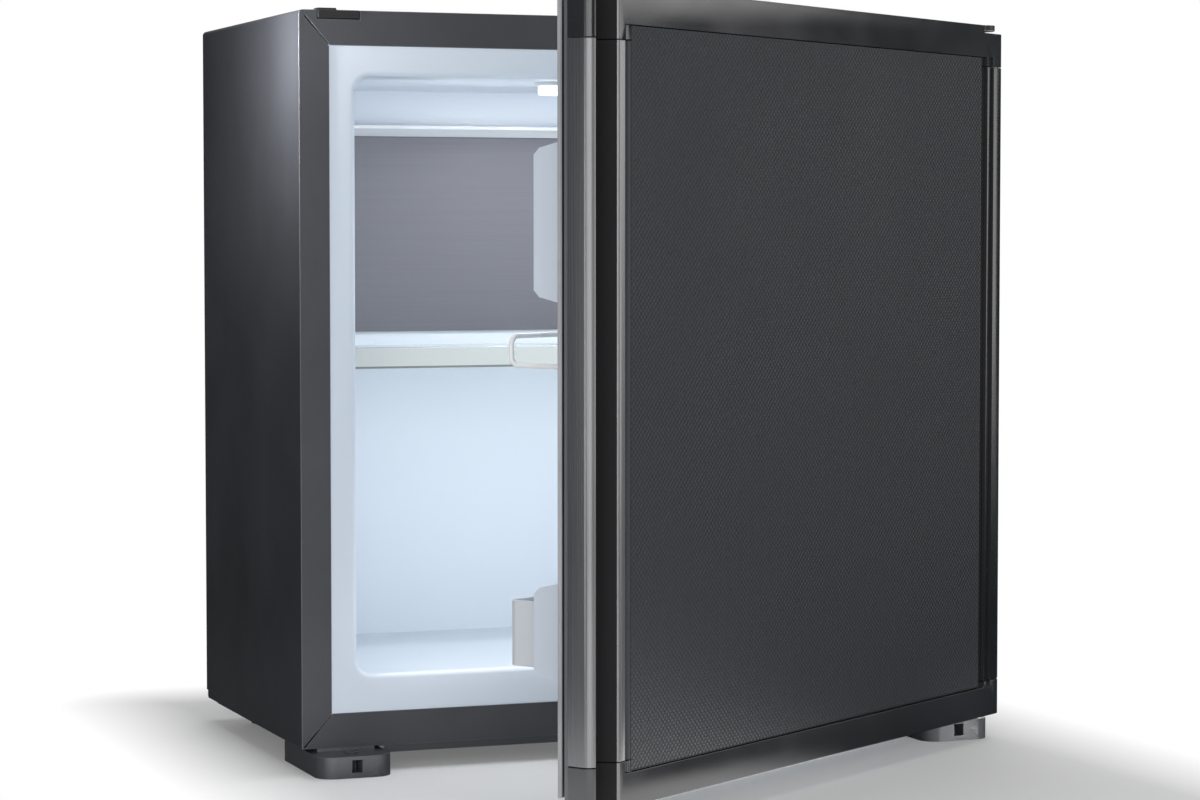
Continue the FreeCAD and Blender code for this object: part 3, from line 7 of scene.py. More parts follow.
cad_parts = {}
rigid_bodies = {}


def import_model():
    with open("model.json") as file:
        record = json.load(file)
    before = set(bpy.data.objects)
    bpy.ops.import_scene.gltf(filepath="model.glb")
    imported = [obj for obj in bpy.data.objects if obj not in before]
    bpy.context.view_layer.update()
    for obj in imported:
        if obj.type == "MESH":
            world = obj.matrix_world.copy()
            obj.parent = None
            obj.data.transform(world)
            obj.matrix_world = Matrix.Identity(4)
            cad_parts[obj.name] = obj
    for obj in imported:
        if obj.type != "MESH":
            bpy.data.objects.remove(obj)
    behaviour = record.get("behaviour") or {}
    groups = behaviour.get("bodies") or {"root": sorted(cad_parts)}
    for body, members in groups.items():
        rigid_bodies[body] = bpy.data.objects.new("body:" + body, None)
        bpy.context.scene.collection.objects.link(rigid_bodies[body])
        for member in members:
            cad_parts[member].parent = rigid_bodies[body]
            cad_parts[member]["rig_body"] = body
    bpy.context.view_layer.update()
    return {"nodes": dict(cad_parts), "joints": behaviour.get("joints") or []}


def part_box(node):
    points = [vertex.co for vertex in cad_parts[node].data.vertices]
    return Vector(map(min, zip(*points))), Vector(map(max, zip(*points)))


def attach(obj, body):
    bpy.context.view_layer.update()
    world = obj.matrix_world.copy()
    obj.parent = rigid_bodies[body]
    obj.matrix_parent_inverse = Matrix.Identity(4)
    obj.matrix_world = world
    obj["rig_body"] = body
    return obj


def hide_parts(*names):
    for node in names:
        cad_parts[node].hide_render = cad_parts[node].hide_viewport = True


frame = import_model()
scene = bpy.context.scene
scene.view_settings.view_transform = "Standard"

# Camera
# A long lens a little left of the fridge and just above its middle, looking slightly down,
# so that the left side, the lit inside and the open door all show.
camera_data = bpy.data.cameras.new("camera")
camera_data.lens = 97.149
camera_data.sensor_width = 36.0
camera = bpy.data.objects.new("camera", camera_data)
scene.collection.objects.link(camera)
scene.camera = camera
camera.location = (-0.68969, -1.70734, 0.29935)
yaw, pitch = math.radians(20.900), math.radians(2.966)
aim = Vector((math.sin(yaw) * math.cos(pitch), math.cos(yaw) * math.cos(pitch), -math.sin(pitch)))
camera.rotation_euler = aim.to_track_quat("-Z", "Y").to_euler()

# Case shell
# One steel sheet folded over the top and both sides, with a mitred flange round the opening.
# It is stoved with a charcoal powder paint that leaves a fine grain; its folds are rubbed pale by wear and
# painted paler as an edge highlight.


def finish(name, colour, roughness, metallic=0.0, specular=0.5):
    """A new material with its plain values on the shader's own sockets."""
    material = bpy.data.materials.new(name)
    material.use_nodes = True
    shader = material.node_tree.nodes["Principled BSDF"]
    shader.inputs["Base Color"].default_value = (*colour, 1.0)
    shader.inputs["Roughness"].default_value = roughness
    shader.inputs["Metallic"].default_value = metallic
    shader.inputs["Specular IOR Level"].default_value = specular
    return material, material.node_tree, shader


def mapped(tree, where, stretch, turn=(0, 0, 0), shift=(0, 0, 0)):
    """Coordinates turned, stretched and shifted for a pattern."""
    mapping = tree.nodes.new("ShaderNodeMapping")
    mapping.inputs["Location"].default_value = shift
    mapping.inputs["Rotation"].default_value = turn
    mapping.inputs["Scale"].default_value = stretch
    tree.links.new(where, mapping.inputs["Vector"])
    return mapping.outputs["Vector"]


def place(tree, stretch=(1, 1, 1), turn=(0, 0, 0), shift=(0, 0, 0)):
    """The piece's own coordinates, in metres, laid out for a pattern."""
    source = tree.nodes.new("ShaderNodeTexCoord")
    return mapped(tree, source.outputs["Object"], stretch, turn, shift)


def grain(tree, where, cells, detail=2):
    """Cloudy noise at a number of cells to the metre."""
    noise = tree.nodes.new("ShaderNodeTexNoise")
    noise.inputs["Scale"].default_value = cells
    noise.inputs["Detail"].default_value = detail
    tree.links.new(where, noise.inputs["Vector"])
    return noise.outputs["Fac"]


def shaded(tone, share):
    """A tone made darker or lighter by one share."""
    return tuple(min(1.0, c * share) for c in tone)


def graded(tree, factor, low, high, start=0.3, end=0.7):
    """A colour between two tones, as a factor goes from start to end."""
    ramp = tree.nodes.new("ShaderNodeValToRGB")
    ramp.color_ramp.elements[0].position = start
    ramp.color_ramp.elements[1].position = end
    ramp.color_ramp.elements[0].color = (*low, 1.0)
    ramp.color_ramp.elements[1].color = (*high, 1.0)
    tree.links.new(factor, ramp.inputs["Fac"])
    return ramp.outputs["Color"]


def ranged(tree, factor, low, high, start=0.3, end=0.7):
    """A number between two limits, as a factor goes from start to end."""
    spread = tree.nodes.new("ShaderNodeMapRange")
    spread.inputs["From Min"].default_value = start
    spread.inputs["From Max"].default_value = end
    spread.inputs["To Min"].default_value = low
    spread.inputs["To Max"].default_value = high
    tree.links.new(factor, spread.inputs["Value"])
    return spread.outputs["Result"]


def uneven(tree, shader, factor, tone, shares, gloss, start=0.3, end=0.7):
    """Varies a shader's tone between two shares of it, and its roughness between two limits."""
    colour = graded(tree, factor, shaded(tone, shares[0]), shaded(tone, shares[1]), start, end)
    tree.links.new(colour, shader.inputs["Base Color"])
    tree.links.new(ranged(tree, factor, *gloss, start, end), shader.inputs["Roughness"])


def relief(tree, shader, height, strength, depth):
    """Bump on a shader, added over any that it has."""
    bump = tree.nodes.new("ShaderNodeBump")
    bump.inputs["Strength"].default_value = strength
    bump.inputs["Distance"].default_value = depth
    tree.links.new(height, bump.inputs["Height"])
    if shader.inputs["Normal"].links:
        tree.links.new(shader.inputs["Normal"].links[0].from_socket, bump.inputs["Normal"])
    tree.links.new(bump.outputs["Normal"], shader.inputs["Normal"])


def powder_coat(name, tone, specular, roughness):
    """Stoved paint: a fine grain, slow changes of tone and a slightly uneven gloss."""
    material, tree, shader = finish(name, tone, roughness, specular=specular)
    where = place(tree)
    slow = grain(tree, where, cells=9, detail=3)
    uneven(tree, shader, slow, tone, shares=(0.82, 1.22), gloss=(roughness + 0.06, roughness - 0.06))
    relief(tree, shader, grain(tree, where, cells=1400), strength=0.35, depth=0.0004)
    return material


WELD_WITHIN = 2e-6
FLAT_WITHIN, SHARP_FROM, BROKEN_FROM = math.radians(0.4), math.radians(32), math.radians(38)


def dressed(node, material, edge=0.0004, worn_and_highlit=None):
    """A welded copy of a CAD piece with its sharp edges broken, those edges given a second, paler finish if
    one is passed, for wear and as a painted edge highlight.
    """
    mesh = frame["nodes"][node].data.copy()
    mesh.name = node + "_skin"
    shell = bmesh.new()
    shell.from_mesh(mesh)
    bmesh.ops.remove_doubles(shell, verts=shell.verts, dist=WELD_WITHIN)
    bmesh.ops.dissolve_limit(shell, angle_limit=FLAT_WITHIN, verts=shell.verts, edges=shell.edges)
    shell.to_mesh(mesh)
    shell.free()
    mesh.shade_smooth()
    mesh.set_sharp_from_angle(angle=SHARP_FROM)
    mesh.materials.clear()
    mesh.materials.append(material)
    piece = bpy.data.objects.new(node + "_finished", mesh)
    scene.collection.objects.link(piece)
    if edge:
        bevel = piece.modifiers.new("broken_edges", "BEVEL")
        bevel.width = edge
        bevel.segments = 2
        bevel.limit_method = "ANGLE"
        bevel.angle_limit = BROKEN_FROM
        bevel.harden_normals = True
        if worn_and_highlit:
            mesh.materials.append(worn_and_highlit)
            bevel.material = 1
    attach(piece, frame["nodes"][node]["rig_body"])
    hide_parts(node)
    return piece


charcoal_paint = powder_coat("charcoal_paint", (0.041, 0.0435, 0.05), specular=0.3, roughness=0.42)
# Paler paint for the broken edges, for wear and as a painted edge highlight.
worn_paint_with_highlight = powder_coat("worn_paint_with_highlight", (0.11, 0.112, 0.118), specular=0.45, roughness=0.36)
dressed("case_shell", charcoal_paint, edge=0.0005, worn_and_highlit=worn_paint_with_highlight)

# Base panel and crossbar
# The floor sheet of the case carries the lower flange; a folded channel stiffens its front edge.
# Both are stoved with the same paint as the shell.
# Their broken edges take the same pale paint as the shell, for wear and as a painted edge highlight.
for steel_piece in ("base_panel", "base_crossbar"):
    dressed(steel_piece, charcoal_paint, edge=0.0003, worn_and_highlit=worn_paint_with_highlight)

# Back panel
# A zinc-coated sheet screwed over the foam. Its zinc has set in large pale and dark spangles.
# The cover, hangers, cradles and strap of the cooling unit are cut from the same sheet.


def cellular(tree, where, cells, scatter=1.0):
    """Cells at a number to the metre, scattered or, with no scatter, in even rows."""
    pattern = tree.nodes.new("ShaderNodeTexVoronoi")
    pattern.inputs["Scale"].default_value = cells
    pattern.inputs["Randomness"].default_value = scatter
    tree.links.new(where, pattern.inputs["Vector"])
    return pattern.outputs


def zinc_coat(name, tone, spread):
    """Hot-dipped zinc: angular spangles that differ in tone and gloss."""
    material, tree, shader = finish(name, tone, 0.42, metallic=0.85)
    where = place(tree)
    shade = tree.nodes.new("ShaderNodeSeparateColor")
    tree.links.new(cellular(tree, where, cells=95)["Color"], shade.inputs["Color"])
    dark, pale = shaded(tone, 1 - spread), shaded(tone, 1 + spread)
    tree.links.new(graded(tree, shade.outputs["Red"], dark, pale, 0.0, 1.0), shader.inputs["Base Color"])
    gloss = ranged(tree, shade.outputs["Green"], 0.34, 0.48, 0.0, 1.0)
    tree.links.new(gloss, shader.inputs["Roughness"])
    relief(tree, shader, grain(tree, where, cells=700), strength=0.12, depth=0.0003)
    return material


zinc_sheet = zinc_coat("zinc_sheet", (0.5, 0.51, 0.52), spread=0.11)
for zinc_piece in ("back_panel", "evaporator_cover", "condenser_hangers", "vessel_cradles", "boiler_strap"):
    dressed(zinc_piece, zinc_sheet, edge=0.0002)

# Foam
# Cream urethane foam is blown between the steel and the liner and into the door, where it sets.
# It shows only through slots and gaps, as fine closed cells; near the front it is painted near black as the
# shade in those gaps.


def axes_of(tree, vector):
    """The X, Y and Z of a vector."""
    split = tree.nodes.new("ShaderNodeSeparateXYZ")
    tree.links.new(vector, split.inputs["Vector"])
    return split.outputs


def swapped(tree, factor, tone, other):
    """A tone, or another colour where the factor is one."""
    change = tree.nodes.new("ShaderNodeMix")
    change.data_type = "RGBA"
    tree.links.new(factor, change.inputs["Factor"])
    tree.links.new(tone, change.inputs["A"])
    change.inputs["B"].default_value = (*other, 1.0)
    return change.outputs["Result"]


def repaint(node, material):
    """Keeps a CAD piece as it is and gives it a new finish."""
    frame["nodes"][node].data.materials.clear()
    frame["nodes"][node].data.materials.append(material)


FOAM_SHADE_TO, FOAM_CREAM_FROM = 0.016, 0.018
foam_skin, foam_tree, foam_shader = finish("foam_skin", (0.62, 0.52, 0.28), 0.9, specular=0.2)
foam_where = place(foam_tree)
foam_cloud = grain(foam_tree, foam_where, cells=40, detail=3)
foam_tone = graded(foam_tree, foam_cloud, (0.5, 0.4, 0.19), (0.7, 0.6, 0.36))
foam_depth = axes_of(foam_tree, foam_where)["Y"]
# Near the front, where the foam shows only in narrow gaps, it is painted near black as shade.
foam_front_shade = ranged(foam_tree, foam_depth, 1.0, 0.0, FOAM_SHADE_TO, FOAM_CREAM_FROM)
foam_colour = swapped(foam_tree, foam_front_shade, foam_tone, (0.02, 0.02, 0.02))
foam_tree.links.new(foam_colour, foam_shader.inputs["Base Color"])
foam_cells = cellular(foam_tree, foam_where, cells=900)["Distance"]
relief(foam_tree, foam_shader, foam_cells, strength=0.5, depth=0.0008)
for foam_piece in ("case_insulation", "door_insulation"):
    repaint(foam_piece, foam_skin)

# Liner
# The inside of the fridge is one sheet of cool white polystyrene, drawn over a mould, with rounded
# corners, a front flange and two ledges for the shelf. The border that the steel flange hides is
# painted near black as the shade in the gap behind the flange.


def drawn_white(name, tone, roughness=0.3):
    """Glossy white sheet plastic with the slight waviness of a drawn sheet."""
    material, tree, shader = finish(name, tone, roughness, specular=0.45)
    where = place(tree)
    wave = grain(tree, where, cells=14)
    gloss = (roughness - 0.05, roughness + 0.07)
    uneven(tree, shader, wave, tone, shares=(0.98, 1.0), gloss=gloss, start=0.1, end=0.9)
    relief(tree, shader, wave, strength=0.03, depth=0.002)
    relief(tree, shader, grain(tree, where, cells=1100), strength=0.06, depth=0.0002)
    return material


def worked(tree, operation, *terms):
    """A number worked out by one operation from other nodes' numbers and plain ones."""
    step = tree.nodes.new("ShaderNodeMath")
    step.operation = operation
    for k, term in enumerate(terms):
        if isinstance(term, bpy.types.NodeSocket):
            tree.links.new(term, step.inputs[k])
        else:
            step.inputs[k].default_value = term
    return step.outputs[0]


def past_border(material, where, limits, other):
    """Changes a finish's colour past any of the limits, each an axis, a side and a value."""
    tree = material.node_tree
    colour = tree.nodes["Principled BSDF"].inputs["Base Color"]
    tone = colour.links[0].from_socket
    axes = axes_of(tree, where)
    for axis, side, limit in limits:
        tone = swapped(tree, worked(tree, side, axes[axis], limit), tone, other)
    tree.links.new(tone, colour)


SHADE_BORDER_WIDTH = 0.0085
liner_tone = (0.62, 0.685, 0.765)
case_liner = drawn_white("case_liner", liner_tone)
liner_low, liner_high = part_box("inner_liner")
shade_behind_flange = [
    ("X", "LESS_THAN", liner_low.x + SHADE_BORDER_WIDTH),
    ("X", "GREATER_THAN", liner_high.x - SHADE_BORDER_WIDTH),
    ("Z", "LESS_THAN", liner_low.z + SHADE_BORDER_WIDTH),
    ("Z", "GREATER_THAN", liner_high.z - SHADE_BORDER_WIDTH),
]
# The border behind the steel flange is painted near black as the shade in that gap.
past_border(case_liner, place(case_liner.node_tree), shade_behind_flange, (0.012, 0.012, 0.012))
dressed("inner_liner", case_liner, edge=0.0)

# Cold plate
# A satin grey aluminium sheet on the back wall takes the cold in. Its top edge is folded forward to
# carry drips clear, and is painted pale there as a highlight. The block behind it is cut from plain
# aluminium bar.


def rolled_aluminium(name, tone, stretch, metallic=0.75):
    """Rolled aluminium: long fine lines in tone and gloss along one direction."""
    material, tree, shader = finish(name, tone, 0.4, metallic=metallic)
    lines = grain(tree, place(tree, stretch), cells=1, detail=3)
    uneven(tree, shader, lines, tone, shares=(0.94, 1.05), gloss=(0.4, 0.5))
    relief(tree, shader, lines, strength=0.03, depth=0.0002)
    return material


PLATE_LIP = 0.0065
plate_aluminium = rolled_aluminium("plate_aluminium", (0.115, 0.119, 0.143), (12, 1600, 1600), metallic=0.2)
# The folded lip at the top is painted pale as a highlight.
lip_painted_highlight = [("Z", "GREATER_THAN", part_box("cold_plate")[1].z - PLATE_LIP)]
past_border(plate_aluminium, place(plate_aluminium.node_tree), lip_painted_highlight, (0.6, 0.63, 0.67))
dressed("cold_plate", plate_aluminium)
block_aluminium = rolled_aluminium("block_aluminium", (0.58, 0.59, 0.61), (60, 700, 700))
dressed("evaporator_block", block_aluminium, edge=0.0005)

# Screws
# Zinc-plated pan-head screws with a cross recess hold the back, the cold plate and the front feet.
# One head is drawn and set on every seat, each turned to its own angle.
screw_zinc = zinc_coat("screw_zinc", (0.62, 0.62, 0.6), spread=0.08)
HEAD_RADIUS, HEAD_HEIGHT = 0.0036, 0.0020
CROSS_ARM, CROSS_SLOT = 0.55, 0.16


def bridge(shell, rings):
    """Faces between each ring of points and the next."""
    for one, two in zip(rings, rings[1:]):
        for i in range(len(one)):
            j = (i + 1) % len(one)
            shell.faces.new((one[i], one[j], two[j], two[i]))


def made_of(shell, name):
    """An object made of a shell, with all its faces turned outwards."""
    bmesh.ops.recalc_face_normals(shell, faces=shell.faces)
    mesh = bpy.data.meshes.new(name)
    shell.to_mesh(mesh)
    shell.free()
    return bpy.data.objects.new(name, mesh)


def cross_head():
    """A pan head with a cross recess, standing on the XY plane."""
    cross = []
    for quarter in range(4):
        turn = Matrix.Rotation(quarter * math.pi / 2, 3, "Z")
        for x, y in ((CROSS_ARM, -CROSS_SLOT), (CROSS_ARM, CROSS_SLOT), (CROSS_SLOT, CROSS_SLOT)):
            cross.append(turn @ Vector((x, y, 0)))
    rim = [p.normalized() for p in cross]
    shell = bmesh.new()
    rings = []
    for outline, share, height in (
        (rim, 1.0, 0.0),
        (rim, 1.0, 0.4),
        (rim, 0.93, 0.72),
        (rim, 0.75, 0.94),
        (cross, 1.0, 1.0),
        (cross, 0.8, 0.4),
    ):
        lift = Vector((0, 0, height * HEAD_HEIGHT))
        rings.append([shell.verts.new(p * share * HEAD_RADIUS + lift) for p in outline])
    bridge(shell, rings)
    shell.faces.new(rings[-1])
    shell.faces.new(list(reversed(rings[0])))
    return made_of(shell, "cross_head")


def repeat_tree(name, material, facing, seed):
    """Sets one object on every point, turned to face one way and spun at random about that way."""
    tree = bpy.data.node_groups.new(name, "GeometryNodeTree")
    tree.interface.new_socket("Geometry", in_out="INPUT", socket_type="NodeSocketGeometry")
    tree.interface.new_socket("Piece", in_out="INPUT", socket_type="NodeSocketObject")
    tree.interface.new_socket("Size", in_out="INPUT", socket_type="NodeSocketFloat")
    tree.interface.new_socket("Spin", in_out="INPUT", socket_type="NodeSocketFloat")
    tree.interface.new_socket("Geometry", in_out="OUTPUT", socket_type="NodeSocketGeometry")
    new = tree.nodes.new
    inside, outside = new("NodeGroupInput"), new("NodeGroupOutput")
    piece = new("GeometryNodeObjectInfo")
    spin = new("FunctionNodeRandomValue")
    spin.data_type = "FLOAT"
    spin.inputs["Seed"].default_value = seed
    spin_vector = new("ShaderNodeCombineXYZ")
    face = new("FunctionNodeEulerToRotation")
    face.inputs[0].default_value = facing
    turned = new("FunctionNodeRotateRotation")
    turned.rotation_space = "LOCAL"
    spun = new("FunctionNodeEulerToRotation")
    points = new("GeometryNodeInstanceOnPoints")
    real = new("GeometryNodeRealizeInstances")
    paint = new("GeometryNodeSetMaterial")
    paint.inputs["Material"].default_value = material
    link = tree.links.new
    link(inside.outputs["Piece"], piece.inputs["Object"])
    link(inside.outputs["Spin"], spin.inputs[3])
    link(spin.outputs[1], spin_vector.inputs["Z"])
    link(spin_vector.outputs[0], spun.inputs[0])
    link(face.outputs[0], turned.inputs[0])
    link(spun.outputs[0], turned.inputs[1])
    link(inside.outputs["Geometry"], points.inputs["Points"])
    link(piece.outputs["Geometry"], points.inputs["Instance"])
    link(turned.outputs[0], points.inputs["Rotation"])
    link(inside.outputs["Size"], points.inputs["Scale"])
    link(points.outputs["Instances"], real.inputs["Geometry"])
    link(real.outputs["Geometry"], paint.inputs["Geometry"])
    link(paint.outputs["Geometry"], outside.inputs["Geometry"])
    return tree


def set_out(name, seats, piece, tree, body, **sizes):
    """Runs a tree on a row of points and keeps its result as a plain mesh on one body."""
    mesh = bpy.data.meshes.new(name + "_seats")
    mesh.from_pydata(seats, [], [])
    made = bpy.data.objects.new(name, mesh)
    scene.collection.objects.link(made)
    modifier = made.modifiers.new(name, "NODES")
    modifier.node_group = tree
    sockets = {s.name: s.identifier for s in tree.interface.items_tree if s.in_out == "INPUT"}
    modifier[sockets["Piece"]] = piece
    for key, value in sizes.items():
        modifier[sockets[key]] = value
    bpy.context.view_layer.update()
    real = bpy.data.meshes.new_from_object(made.evaluated_get(bpy.context.evaluated_depsgraph_get()))
    made.modifiers.clear()
    made.data = real
    real.name = name
    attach(made, body)
    return made


def smooth_by_angle(piece, angle):
    """Smooth shading, but sharp at edges that turn by more than an angle in degrees."""
    piece.data.shade_smooth()
    piece.data.set_sharp_from_angle(angle=math.radians(angle))


X, Y, Z = 0, 1, 2
TENTH_OF_MILLIMETRE = 4


def ends_of(node, axis, inset=0.0):
    """The two ends of a CAD piece along an axis, drawn in by an inset, to a tenth of a millimetre."""
    low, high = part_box(node)
    return round(low[axis] + inset, TENTH_OF_MILLIMETRE), round(high[axis] - inset, TENTH_OF_MILLIMETRE)


def middle_of(node, axis):
    """The middle of a CAD piece along an axis."""
    return sum(ends_of(node, axis)) / 2


FULL_TURN = 6.28
ROW_OVER_BOX, FOOT_SCREW_STEP = 0.006, 0.024
low_row, high_row = ends_of("back_panel_screws", Z, HEAD_RADIUS)
second_row = ends_of("control_box", Z)[1] + ROW_OVER_BOX
back_rows = (low_row, second_row, (second_row + high_row) / 2, high_row)
back_face = ends_of("back_panel", Y)[1]
back_columns = ends_of("back_panel_screws", X, HEAD_RADIUS)
back_seats = [(x, back_face, z) for x in back_columns for z in back_rows]
plate_face = ends_of("cold_plate_screws", Y)[0] + HEAD_HEIGHT
plate_rows = ends_of("cold_plate_screws", Z, HEAD_RADIUS)
plate_columns = ends_of("cold_plate_screws", X, HEAD_RADIUS)
plate_seats = [(x, plate_face, z) for x in plate_columns for z in plate_rows]
foot_left, foot_right = ends_of("foot_screws", X, HEAD_RADIUS)
foot_row = middle_of("foot_screws", Y)
foot_recess = ends_of("foot_screws", Z)[0] + HEAD_HEIGHT
foot_columns = (foot_left, foot_left + FOOT_SCREW_STEP, foot_right - FOOT_SCREW_STEP, foot_right)
foot_seats = [(x, foot_row, foot_recess) for x in foot_columns]
screw_head = cross_head()
for name, node, seats, facing, seed in (
    ("back_screw_heads", "back_panel_screws", back_seats, (-math.pi / 2, 0, 0), 3),
    ("plate_screw_heads", "cold_plate_screws", plate_seats, (math.pi / 2, 0, 0), 5),
    ("foot_screw_heads", "foot_screws", foot_seats, (math.pi, 0, 0), 7),
):
    screw_tree = repeat_tree(name + "_tree", screw_zinc, facing, seed)
    screws = set_out(name, seats, screw_head, screw_tree, "cabinet", Size=1.0, Spin=FULL_TURN)
    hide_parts(node)
    smooth_by_angle(screws, 40)

# Ceiling lamp
# A white moulded base clipped to the ceiling carries a strip of light-emitting chips.
# A frosted lens snaps over them and glows.
moulded_white = drawn_white("moulded_white", (0.62, 0.65, 0.69), roughness=0.36)
dressed("lamp_base", moulded_white)
lens_glow, lens_tree, lens_shader = finish("lens_glow", (0.9, 0.93, 0.95), 0.35)
lens_where = place(lens_tree)
lens_shader.inputs["Emission Color"].default_value = (0.93, 0.97, 1.0, 1.0)
lens_shader.inputs["Emission Strength"].default_value = 1.1
relief(lens_tree, lens_shader, grain(lens_tree, lens_where, cells=900), strength=0.2, depth=0.0005)
lens_cloud = grain(lens_tree, lens_where, cells=60)
lens_tone = graded(lens_tree, lens_cloud, (0.82, 0.86, 0.9), (0.95, 0.97, 0.98))
lens_tree.links.new(lens_tone, lens_shader.inputs["Base Color"])
dressed("lamp_lens", lens_glow, edge=0.0006)
board_white, board_tree, board_shader = finish("board_white", (0.75, 0.77, 0.74), 0.5)
board_cloud = grain(board_tree, place(board_tree), cells=300)
board_tone = graded(board_tree, board_cloud, (0.7, 0.72, 0.68), (0.8, 0.82, 0.8))
board_tree.links.new(board_tone, board_shader.inputs["Base Color"])
dressed("lamp_board", board_white, edge=0.0002)

# Shelf
# A loose pane of toughened glass, faintly green at its ground edges, with a clear grey moulding
# pushed over the front edge. The lower lip of the moulding is darker.
shelf_glass, glass_tree, glass_shader = finish("shelf_glass", (0.86, 0.95, 0.93), 0.03)
glass_shader.inputs["Transmission Weight"].default_value = 0.92
glass_shader.inputs["IOR"].default_value = 1.5
glass_smears = grain(glass_tree, place(glass_tree), cells=25, detail=3)
glass_tree.links.new(ranged(glass_tree, glass_smears, 0.02, 0.09), glass_shader.inputs["Roughness"])
dressed("glass_shelf", shelf_glass, edge=0.0008)
TRIM_LIP = 0.0012
trim_clear = drawn_white("trim_clear", (0.34, 0.375, 0.38), roughness=0.22)
lower_lip = [("Z", "LESS_THAN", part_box("shelf_trim")[0].z + TRIM_LIP)]
past_border(trim_clear, place(trim_clear.node_tree), lower_lip, (0.12, 0.13, 0.13))
dressed("shelf_trim", trim_clear, edge=0.0005)

# Feet and slot plug
# The front feet are moulded in black-grey nylon with a fine sparked surface, and the plug pushed
# into the spare hinge slot in a blacker one. Two rubber pads stand under the back.


def sparked(name, tone, roughness, cells=1500, depth=0.0004, specular=0.4):
    """Moulded plastic with the even pitting of a spark-eroded mould."""
    material, tree, shader = finish(name, tone, roughness, specular=specular)
    where = place(tree)
    slow = grain(tree, where, cells=18)
    uneven(tree, shader, slow, tone, shares=(0.85, 1.15), gloss=(roughness - 0.05, roughness + 0.05))
    relief(tree, shader, grain(tree, where, cells), strength=0.4, depth=depth)
    return material


foot_nylon = sparked("foot_nylon", (0.058, 0.0605, 0.067), 0.28, depth=0.0002, specular=0.7)
worn_nylon_with_highlight = sparked("worn_nylon_with_highlight", (0.1, 0.101, 0.106), 0.3)
# The feet's broken edges are rubbed paler by wear and painted paler still as an edge highlight.
for nylon_piece in ("foot_left", "foot_right"):
    dressed(nylon_piece, foot_nylon, edge=0.0006, worn_and_highlit=worn_nylon_with_highlight)
plug_black = sparked("plug_black", (0.012, 0.012, 0.0135), 0.5, depth=0.0002, specular=0.25)
dressed("hinge_slot_plug", plug_black, edge=0.0005)
pad_rubber = sparked("pad_rubber", (0.02, 0.02, 0.02), 0.8, cells=700, depth=0.0006, specular=0.2)
dressed("rear_feet", pad_rubber, edge=0.0012)

# Door skin
# The front of the door is a black plastic-coated sheet, embossed all over with small dots in
# slanting rows. Its pattern is laid out square to the door, which stands open.
door_joint = next(j for j in frame["joints"] if j["name"] == "door_hinge")
hinge_axis = Vector((door_joint["pos_m"][0], door_joint["pos_m"][1], 0.0))
door_angle = -math.radians(door_joint["range_deg"][0])
shut = Matrix.Rotation(-door_angle, 4, "Z")
shut_shift = hinge_axis - shut @ hinge_axis


def door_place(tree):
    """Coordinates of the shut door, for patterns that follow its sides."""
    return place(tree, turn=(0, 0, -door_angle), shift=shut_shift)


DOT_PITCH, DOT_ROWS = 0.0023, math.radians(45)
SEAM_SHADE_BAND = 0.0009
door_skin, skin_tree, skin_shader = finish("door_skin", (0.034, 0.0348, 0.0375), 0.45, specular=0.3)
skin_where = door_place(skin_tree)
skin_rows = mapped(skin_tree, skin_where, (1 / DOT_PITCH, 0.0, 1 / DOT_PITCH), (0, DOT_ROWS, 0))
dots = cellular(skin_tree, skin_rows, cells=1, scatter=0.0)
dot_height = ranged(skin_tree, dots["Distance"], 1.0, 0.0, 0.1, 0.6)
# The dots' tops are painted lighter and the hollows between them darker, as highlight and shade.
dot_tone_with_painted_shade = graded(skin_tree, dot_height, (0.0145, 0.0157, 0.0186), (0.04, 0.0428, 0.0495), 0.1, 0.9)
skin_tree.links.new(dot_tone_with_painted_shade, skin_shader.inputs["Base Color"])
skin_slow = grain(skin_tree, skin_where, cells=12, detail=3)
skin_tree.links.new(ranged(skin_tree, skin_slow, 0.4, 0.5), skin_shader.inputs["Roughness"])
# A thin band at the panel's bottom edge is painted near black as the shade in the seam.
seam_painted_shade = [("Z", "LESS_THAN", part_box("door_panel")[0].z + SEAM_SHADE_BAND)]
past_border(door_skin, skin_where, seam_painted_shade, (0.003, 0.003, 0.003))
relief(skin_tree, skin_shader, dot_height, strength=0.5, depth=0.0005)
dressed("door_panel", door_skin, edge=0.0)

# Door frame
# Two extruded profiles stand at the sides, one with the finger groove, and a moulded cap closes
# each end. All four are dark grey, the one with the groove drawn with fine lines along its length.
# The finger groove and the hinge grooves are painted near black as shade; the rounded ridge and
# the rib beside the groove are painted pale as highlights.


def extruded_grey(name, tone, roughness, specular=0.95):
    """Extruded plastic: faint lines along the door's height and a soft gloss."""
    material, tree, shader = finish(name, tone, roughness, specular=specular)
    where = door_place(tree)
    slow = grain(tree, where, cells=10)
    tree.links.new(graded(tree, slow, shaded(tone, 0.85), shaded(tone, 1.15)), shader.inputs["Base Color"])
    lines = grain(tree, mapped(tree, where, (2200, 2200, 6)), cells=1)
    tree.links.new(ranged(tree, lines, roughness - 0.04, roughness + 0.06), shader.inputs["Roughness"])
    relief(tree, shader, lines, strength=0.1, depth=0.0002)
    return material


profile_grey = extruded_grey("profile_grey", (0.034, 0.0358, 0.041), 0.27)
profile_shader = profile_grey.node_tree.nodes["Principled BSDF"]
profile_shader.inputs["Coat Weight"].default_value = 0.7
profile_shader.inputs["Coat Roughness"].default_value = 0.3
cap_grey = sparked("cap_grey", (0.015, 0.0162, 0.0188), 0.2, cells=1300, depth=0.00006, specular=0.6)
# The groove and the hinge grooves are painted near black as the shade in them.
groove_painted_shade = extruded_grey("groove_painted_shade", (0.006, 0.006, 0.007), 0.6, specular=0.15)
